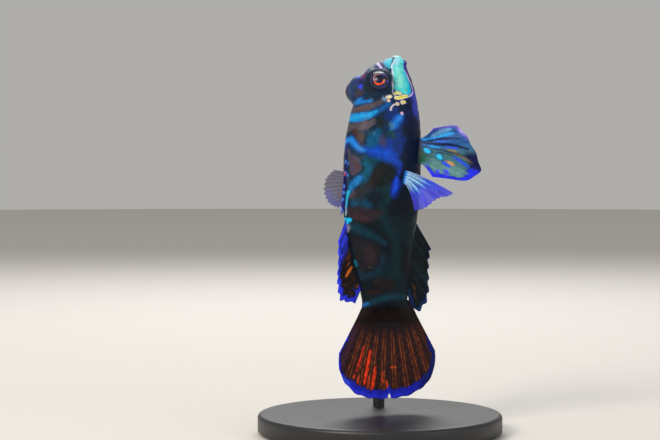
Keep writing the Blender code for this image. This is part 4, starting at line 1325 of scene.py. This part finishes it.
def tint_to(colour, amount):
    """Tint for rays of one tone that fade into the edge's colour."""
    def tint(colours, u, t, points):
        patchy = 0.6 + 0.4 * ease(wobble(points, 1.3, 88))
        mix(colours, colour, amount * ease((0.75 - t) / 0.2) * patchy)
    return tint


for name, shape, painter, tint in (
    ("first_dorsal_fin", FIRST_DORSAL, paint_first_dorsal, tint_to("#2a2c70", 0.6)),
    ("second_dorsal_fin", SECOND_DORSAL, paint_second_dorsal, tint_to("#34221c", 0.5)),
    ("anal_fin", ANAL, paint_anal, tint_to("#10242c", 0.6)),
):
    sheet = fin_sheet(name + "_sheet", median_fin(shape), shape, painter, fin_membrane)
    finish_piece(sheet, "fin_skin", name)
    rods = make_tubes(name + "_rays", ray_lines(median_fin(shape), shape, painter, tint), 8, fin_ray)
    finish_piece(rods, "fin_skin")

# %% [markdown]
# ## Paired fins
#
# The pectoral fins beat all the time and are nearly clear, with bright blue rays. The pelvic fins
# are large, spotted fans on which the fish can walk. A paired fin leaves the flank along its
# normal and bends over, so each ray is a curve with one control point out from the root.

# %% Pectoral and pelvic fins
PECTORAL = {
    "rays": 12, "per_ray": 9, "steps": 50, "root": -0.08, "first": 0.0, "dip": 0.02, "thick": 0.11,
    "root_thick": 0.12, "fold": 0.06, "wave": 0.12, "waves": 1.1, "ray": (0.17, 0.04), "fork": 0.4,
    "spread": 0.2, "branches": 2, "height": 52.1, "angle": math.radians(-14.0), "fan": 1.1,
}
PECTORAL_RIGHT = (
    (8.0, -6.8, -4.8), (8.0, -5.5, -4.7), (7.5, -3.3, -4.8), (6.5, -1.2, -5.9), (5.0, 0.2, -6.1),
)
PECTORAL_LEFT = (
    (9.0, 5.1, 1.4), (10.5, 6.1, 0.1), (10.5, 6.6, -2.1), (9.5, 6.0, -4.1), (8.0, 4.7, -4.7),
)
PELVIC = {
    "rays": 7, "per_ray": 20, "steps": 80, "root": -0.06, "first": 0.0, "dip": 0.02, "thick": 0.13,
    "root_thick": 0.2, "fold": 0.16, "wave": 0.22, "waves": 1.7, "ray": (0.19, 0.05), "fork": 0.2,
    "spread": 0.3, "branches": 4, "height": 57.6, "angle": math.radians(-50.0), "fan": 2.4,
}
PELVIC_TIPS = (
    (4.0, -0.8, 1.9), (7.0, -4.3, 2.9), (8.5, -6.0, 1.4), (9.0, -8.0, -1.0), (9.0, -9.2, -3.8),
    (7.0, -6.8, -4.9), (2.5, -1.8, -3.1),
)
ROOT_RISE = 0.3


def paired_fin(shape, tips, side):
    """Middle surface of a fan that leaves the flank squarely and bends over along its rays."""
    def middle(u, t):
        share = u / (shape["rays"] - 1)
        place_on_edge = share * (len(tips) - 1)
        out, back, fore = (along_rays([tip[k] for tip in tips], place_on_edge) for k in range(3))
        height = shape["height"] + shape["fan"] * (1.0 - 2.0 * share)
        angle = shape["angle"] if side > 0 else math.pi - shape["angle"]
        start = skin(height, angle)
        _, forward, dorsal, right = body_frame(shape["height"])
        end = start + right * (side * out)[..., None] + dorsal * back[..., None]
        end = end + forward * fore[..., None]
        lift = ROOT_RISE * np.linalg.norm(end - start, axis=-1, keepdims=True)
        knee = start + skin_normal(height, angle) * lift
        t = t[..., None]
        return start * (1 - t) ** 2 + knee * (2 * t * (1 - t)) + end * t**2
    return middle


def paint_pectoral(u, t, edge, points):
    """Thin blue membrane with pale streaks along some rays, violet-blue towards the edge."""
    colours = painted(u.shape, "#1a4ad0")
    mix(colours, "#1a78e0", 1.0 - ease((t - 0.1) / 0.5))
    bright = np.zeros(u.shape)
    for ray, width in ((2.6, 0.7), (5.0, 0.9), (7.4, 0.8), (9.2, 0.5)):
        bright = np.maximum(bright, ease(1.0 - np.abs(u - ray - 0.6 * (t - 0.5)) / width))
    mix(colours, "#8fdcff", bright * ease((t - 0.05) / 0.15) * ease((0.85 - t) / 0.35))
    mix(colours, "#0c1c5a", 0.7 * (1.0 - bright) * ease((t - 0.1) / 0.2) * ease((0.7 - t) / 0.3))
    mix(colours, "#3638d8", ease((t - 0.6) / 0.3))
    mix(colours, "#2c2cb8", ease((u - 8.0) / 2.0) * ease((t - 0.4) / 0.3))
    mix(colours, "#0a2458", 1.0 - ease((t - 0.02) / 0.14))
    colours[..., 3] = 0.55 + 0.35 * (1.0 - ease(t / 0.5)) + 0.2 * bright
    return colours


def tint_pectoral_ray(colours, u, t, points):
    """Blue-white bone near the root, violet towards the edge."""
    mix(colours, "#b8e6ff", 0.45 * ease((t - 0.05) / 0.15) * ease((0.7 - t) / 0.3))
    mix(colours, "#5a66ec", 0.5 * ease((t - 0.6) / 0.2))
    colours[..., 3] = 1.0


def paint_far_pectoral(u, t, edge, points):
    """The other pectoral fin stands in less light: a clear grey-violet."""
    colours = painted(u.shape, "#4c4668")
    mix(colours, "#3a3a9c", ease((1.6 - edge) / 1.0) * ease((u - 4.0) / 3.0))
    colours[..., 3] = 0.5 + 0.35 * (1.0 - ease(t / 0.3))
    return colours


def tint_far_ray(colours, u, t, points):
    """Rays a little lighter than the far fin's membrane."""
    mix(colours, "#5e5c86", 0.5)
    colours[..., 3] = 1.0


# Spots and streaks of the pelvic fan: stops of u and t, width and colour of each. The three long dark
# navy lines along the rays are painted shadows of the rays.
PELVIC_MARKS_AND_RAY_SHADOWS = (
    (((0.3, 0.2), (0.9, 0.35), (1.1, 0.6)), 0.7, "#2a9af4"),
    (((1.0, 0.5), (1.15, 0.7), (1.4, 0.85)), 0.7, "#38a8f4"),
    (((0.5, 0.55), (0.6, 0.8), (1.0, 0.9)), 0.9, "#6aa0d8"),
    # Painted shadow along a ray
    (((0.6, 0.12), (1.0, 0.3), (1.35, 0.55), (1.75, 0.75), (2.0, 0.9)), 0.45, "#0c1c54"),
    (((1.5, 0.42), (1.75, 0.55), (2.0, 0.66)), 0.45, "#2a6cf0"),
    # Painted shadow along a ray
    (((1.2, 0.15), (1.7, 0.35), (2.1, 0.55), (2.45, 0.75), (2.8, 0.92)), 0.6, "#08103a"),
    (((2.1, 0.27), (2.4, 0.38), (2.65, 0.5)), 0.6, "#2aa4f8"),
    (((2.55, 0.62), (2.75, 0.78)), 0.5, "#2a54e4"),
    # Painted shadow along a ray
    (((2.2, 0.2), (2.7, 0.4), (3.0, 0.6), (3.3, 0.8), (3.5, 0.95)), 0.4, "#0e1c40"),
    (((2.85, 0.62), (3.0, 0.74)), 0.5, "#7c7c52"),
    (((3.15, 0.7), (3.4, 0.8), (3.7, 0.9)), 0.35, "#6e5a48"),
    (((3.2, 0.4), (3.4, 0.6), (3.7, 0.8)), 0.3, "#2a4a5c"),
    (((3.55, 0.66), (3.85, 0.77), (4.1, 0.86)), 0.55, "#1f4ce4"),
    (((4.3, 0.57), (4.35, 0.69)), 0.6, "#cc9c50"),
    (((4.5, 0.52), (4.7, 0.68)), 0.7, "#2450e8"),
    (((2.55, 0.14), (3.4, 0.3)), 1.3, "#164468"),
    (((2.7, 0.17), (3.3, 0.27)), 0.85, "#18c0fc"),
    (((3.6, 0.38), (4.25, 0.5)), 1.4, "#1c4a70"),
    (((3.75, 0.41), (4.15, 0.48)), 0.9, "#1cc4fc"),
    (((5.6, 0.74), (5.7, 0.84)), 0.9, "#4a50ec"),
    (((5.25, 0.72), (5.3, 0.84)), 0.9, "#4a54f0"),
    (((5.9, 0.6), (5.9, 0.75)), 0.7, "#3a44e0"),
)


def paint_pelvic(middle):
    """Painter of the spotted fan: blue above, grey-green below, a lower edge of ultramarine, and painted
    shadows of the rays along three dark navy lines.
    """
    def paint_fin(u, t, edge, points):
        colours = painted(u.shape, "#3f6f78")
        mix(colours, "#6a9a98", 0.7 * ease((u - 4.0) / 0.8) * ease((t - 0.25) / 0.25))
        mix(colours, "#2a5c9e", ease((3.3 - u) / 1.0))
        mix(colours, "#1a5040", (1.0 - ease((t - 0.16) / 0.22)) * ease((u - 1.8) / 1.0))
        mix(colours, "#0a1a26", 1.0 - ease((t - 0.02) / 0.16))
        dark_corner = ease((t - 0.8) / 0.1) * ease((4.5 - u) / 0.5) * ease((u - 2.7) / 0.6)
        mix(colours, "#0c1448", dark_corner)
        for stops, width, colour in PELVIC_MARKS_AND_RAY_SHADOWS:
            streak(colours, points, middle, stops, width, colour, soft=0.22)
        width = 1.0 + 0.7 * ease((4.8 - u) / 0.8) + 0.25 * wobble(points, 1.2, 93)
        lower = ease((u - 3.9) / 0.4) * ease((t - 0.32) / 0.2)
        mix(colours, "#141c8c", ease((width + 0.3 - edge) / 0.5) * lower)
        mix(colours, "#2430e8", ease((width - edge) / 0.4 + 0.2) * lower)
        violet_tips = ease((2.4 - u) / 0.5) * ease((t - 0.8) / 0.1)
        lilac_tip = ease(1.0 - np.abs(u - 1.5) / 0.45) * ease((0.45 - edge) / 0.25)
        mix(colours, "#7a5ce0", 0.8 * ease((0.6 - edge) / 0.4) * violet_tips)
        mix(colours, "#b8a4ec", 0.7 * lilac_tip)
        return colours
    return paint_fin


for name, side, tips, painter, tint in (
    ("right", 1, PECTORAL_RIGHT, paint_pectoral, tint_pectoral_ray),
    ("left", -1, PECTORAL_LEFT, paint_far_pectoral, tint_far_ray),
):
    middle = paired_fin(PECTORAL, tips, side)
    sheet = fin_sheet("pectoral_sheet_" + name, middle, PECTORAL, painter, clear_membrane)
    finish_piece(sheet, "fin_skin", "pectoral_fin_" + name)
    rods = make_tubes("pectoral_rays_" + name, ray_lines(middle, PECTORAL, painter, tint), 6, fin_ray)
    finish_piece(rods, "fin_skin")
    middle = paired_fin(PELVIC, PELVIC_TIPS, side)
    painter = paint_pelvic(middle)
    sheet = fin_sheet("pelvic_sheet_" + name, middle, PELVIC, painter, fin_membrane)
    finish_piece(sheet, "fin_skin", "pelvic_fin_" + name)
    rays = ray_lines(middle, PELVIC, painter, tint_to("#3a6a90", 0.25))
    rods = make_tubes("pelvic_rays_" + name, rays, 6, fin_ray)
    finish_piece(rods, "fin_skin")

# %% [markdown]
# ## Stand
#
# The stand is plain, so that it doesn't take the eye from the fish: a turned steel disc and a
# bent steel rod, both powder coated in satin black. Powder coat has a fine skin like orange peel,
# with bumps about half a millimetre across. The disc is a profile turned round the axis, and the
# rod is one more line for the tube tree.

# %% Powder-coated steel
BASE_RADIUS, BASE_THICK, BASE_BEVEL = 25.0, 4.0, 0.8
ROD_RADIUS, ROD_SEAT_DEPTH, ROD_STANDOFF, ROD_X = 1.2, 2.5, 8.6, 5.0
ROD_TOP, ROD_BEND, ROD_BEND_POINTS, ROD_END = 39.0, 5.5, 24, 1.2
PEEL_DEPTH = 0.02


def powder_coat():
    """Satin black powder coat on steel: soft, broad shine broken by orange peel."""
    material, tree, shader = new_material("powder_coated_steel_satin_black")
    where = add_node(tree, "ShaderNodeTexCoord").outputs["Object"]
    peel = add_node(tree, "ShaderNodeTexNoise", {"Scale": 2000.0, "Detail": 1.0}, {"Vector": where})
    dust = add_node(tree, "ShaderNodeTexNoise", {"Scale": 180.0, "Detail": 4.0}, {"Vector": where})
    ramp = add_node(
        tree, "ShaderNodeMapRange", {"From Min": 0.3, "From Max": 0.7, "To Min": 0.4, "To Max": 0.5},
        {"Value": dust.outputs["Fac"]},
    )
    tree.links.new(ramp.outputs["Result"], shader.inputs["Roughness"])
    tint = add_node(
        tree, "ShaderNodeMix",
        {"A": (*linear("#17181a"), 1.0), "B": (*linear("#202124"), 1.0)},
        {"Factor": dust.outputs["Fac"]}, data_type="RGBA",
    )
    tree.links.new(tint.outputs["Result"], shader.inputs["Base Color"])
    bump = add_node(
        tree, "ShaderNodeBump", {"Strength": 0.35, "Distance": PEEL_DEPTH * MM},
        {"Height": peel.outputs["Fac"]},
    )
    tree.links.new(bump.outputs["Normal"], shader.inputs["Normal"])
    return material


satin_black = powder_coat()


# %% Base and rod
def turned(name, profile, segments, material):
    """Solid turned round the Z axis from radii and heights, bottom centre to top centre."""
    points = []
    for radius, height in profile:
        for k in range(segments):
            a = 2.0 * math.pi * k / segments
            points.append((radius * math.cos(a), radius * math.sin(a), height))
    faces = grid_faces(len(profile), segments, True)
    piece = new_mesh(name, points, faces, None, material)
    weld(piece, 1e-7, outward=True)
    return piece


bevel_radius, bevel_height = BASE_RADIUS - BASE_BEVEL, BASE_THICK - BASE_BEVEL
edge = [
    (bevel_radius + BASE_BEVEL * math.sin(a), bevel_height + BASE_BEVEL * math.cos(a))
    for a in np.linspace(math.pi / 2.0, 0.0, 9)
]
profile = [(0.0, 0.0), (BASE_RADIUS - 1.2, 0.0), (BASE_RADIUS - 0.5, 0.15), (BASE_RADIUS, 0.6)] + edge
profile += [(BASE_RADIUS - 1.6, BASE_THICK), (12.0, BASE_THICK), (0.0, BASE_THICK)]
base = turned("stand_disc", profile, 160, satin_black)
base.data.set_sharp_from_angle(angle=math.radians(50.0))
finish_piece(base, "stand_metal", "stand_base")

foot = np.array((ROD_X, ROD_STANDOFF, BASE_THICK - ROD_SEAT_DEPTH + GAP))
hold = skin(ROD_TOP, math.pi, -0.2)
arrive = skin(ROD_TOP, math.pi) + skin_normal(ROD_TOP, math.pi) * ROD_END
bend_start = np.array((ROD_X, ROD_STANDOFF, arrive[2] - ROD_BEND))
corner = np.array((ROD_X, ROD_STANDOFF, arrive[2]))
bend = [
    bend_start * (1 - t) ** 2 + corner * (2 * t * (1 - t)) + arrive * t**2
    for t in np.linspace(0.0, 1.0, ROD_BEND_POINTS)
]
rod_line = np.vstack([foot, *[foot + (bend_start - foot) * s for s in (0.25, 0.5, 0.75)], *bend, hold])
rod_radii = np.full(len(rod_line), ROD_RADIUS)
rod_paint = np.ones((len(rod_line), 4))
rod = make_tubes("stand_rod_bent", [(rod_line, rod_radii, rod_paint)], 32, satin_black)
finish_piece(rod, "stand_metal", "stand_rod")

# %% [markdown]
# ## Studio
#
# A pale floor, a pale surround and three large soft lamps. The camera looks from the side and
# slightly over the back, from far away through a long lens, so the small fish isn't distorted.

# %% Floor and surround
FLOOR_RADIUS, FLOOR_LEVEL, FLOOR_POINTS = 1600.0, -0.1, 96

floor_mesh = bpy.data.meshes.new("studio_floor")
ring = [
    (FLOOR_RADIUS * MM * math.cos(a), FLOOR_RADIUS * MM * math.sin(a), FLOOR_LEVEL * MM)
    for a in np.linspace(0.0, 2.0 * math.pi, FLOOR_POINTS, endpoint=False)
]
floor_mesh.from_pydata(ring, [], [tuple(range(FLOOR_POINTS))])
floor = bpy.data.objects.new("studio_floor", floor_mesh)
bpy.context.scene.collection.objects.link(floor)
paper, paper_tree, paper_shader = new_material("matt_paper_floor")
paper_place = add_node(paper_tree, "ShaderNodeTexCoord").outputs["Object"]
fibres = add_node(
    paper_tree, "ShaderNodeTexNoise", {"Scale": 900.0, "Detail": 4.0}, {"Vector": paper_place}
)
paper_tint = add_node(
    paper_tree, "ShaderNodeMix",
    {"A": (*linear("#d2cfca"), 1.0), "B": (*linear("#dad7d2"), 1.0)},
    {"Factor": fibres.outputs["Fac"]}, data_type="RGBA",
)
paper_tree.links.new(paper_tint.outputs["Result"], paper_shader.inputs["Base Color"])
paper_shader.inputs["Roughness"].default_value = 0.9
floor_mesh.materials.append(paper)

world = bpy.data.worlds.new("studio_surround")
world.use_nodes = True
world.node_tree.nodes["Background"].inputs["Color"].default_value = (*linear("#dcdad6"), 1.0)
world.node_tree.nodes["Background"].inputs["Strength"].default_value = 0.6
bpy.context.scene.world = world
print("floor and surround")

# %% [markdown]
# ## Lamps and camera
#
# Wet skin shows each lamp as a highlight, so the lamps are large squares, which give broad, weak
# ones. The key lamp stands on the left, a weaker fill on the right, and a third lamp behind lifts
# the outline off the surround.

# %% Lamps and camera
VIEW_AZIMUTH, VIEW_HEIGHT = math.radians(-30.0), math.radians(2.0)
VIEW_DISTANCE, LENS, PIXELS_PER_MM = 374.0, 100.0, 4.9
FISH_COLUMN, TAIL_ROW, TAIL_HEIGHT = 380, 399, 7.0
MIDDLE_COLUMN, MIDDLE_ROW = 330, 220
right_way = np.array((math.cos(VIEW_AZIMUTH), math.sin(VIEW_AZIMUTH), 0.0))
to_camera = np.array((
    math.sin(VIEW_AZIMUTH) * math.cos(VIEW_HEIGHT), -math.cos(VIEW_AZIMUTH) * math.cos(VIEW_HEIGHT),
    math.sin(VIEW_HEIGHT),
))
target_height = TAIL_HEIGHT + (TAIL_ROW - MIDDLE_ROW) / PIXELS_PER_MM
target = right_way * (MIDDLE_COLUMN - FISH_COLUMN) / PIXELS_PER_MM + np.array((0.0, 0.0, target_height))


def look_at(thing, spot, toward):
    """Put a lamp or camera at a spot, in millimetres, facing a point."""
    thing.location = Vector(spot * MM)
    thing.rotation_euler = (Vector(toward * MM) - thing.location).to_track_quat("-Z", "Y").to_euler()


def soft_lamp(name, spot, size_mm, watts, colour):
    """Square soft box."""
    data = bpy.data.lights.new(name, "AREA")
    data.size = size_mm * MM
    data.energy = watts
    data.color = linear(colour)
    lamp = bpy.data.objects.new(name, data)
    bpy.context.scene.collection.objects.link(lamp)
    look_at(lamp, spot, target)


up = np.array((0.0, 0.0, 1.0))
soft_lamp("key_lamp", target + to_camera * 420 - right_way * 330 + up * 330, 260, 3.2, "#fff6ea")
soft_lamp("fill_lamp", target + to_camera * 300 + right_way * 420 + up * 120, 320, 0.5, "#eaf2ff")
soft_lamp("back_lamp", target - to_camera * 380 + up * 360, 300, 1.6, "#ffffff")

camera_data = bpy.data.cameras.new("camera")
camera_data.lens = LENS
camera_data.clip_start = 0.01
camera = bpy.data.objects.new("camera", camera_data)
bpy.context.scene.collection.objects.link(camera)
look_at(camera, target + to_camera * VIEW_DISTANCE, target)
bpy.context.scene.camera = camera
bpy.context.scene.view_settings.view_transform = "Standard"
print("camera at", np.round(np.array(camera.location) * 1000), "mm")
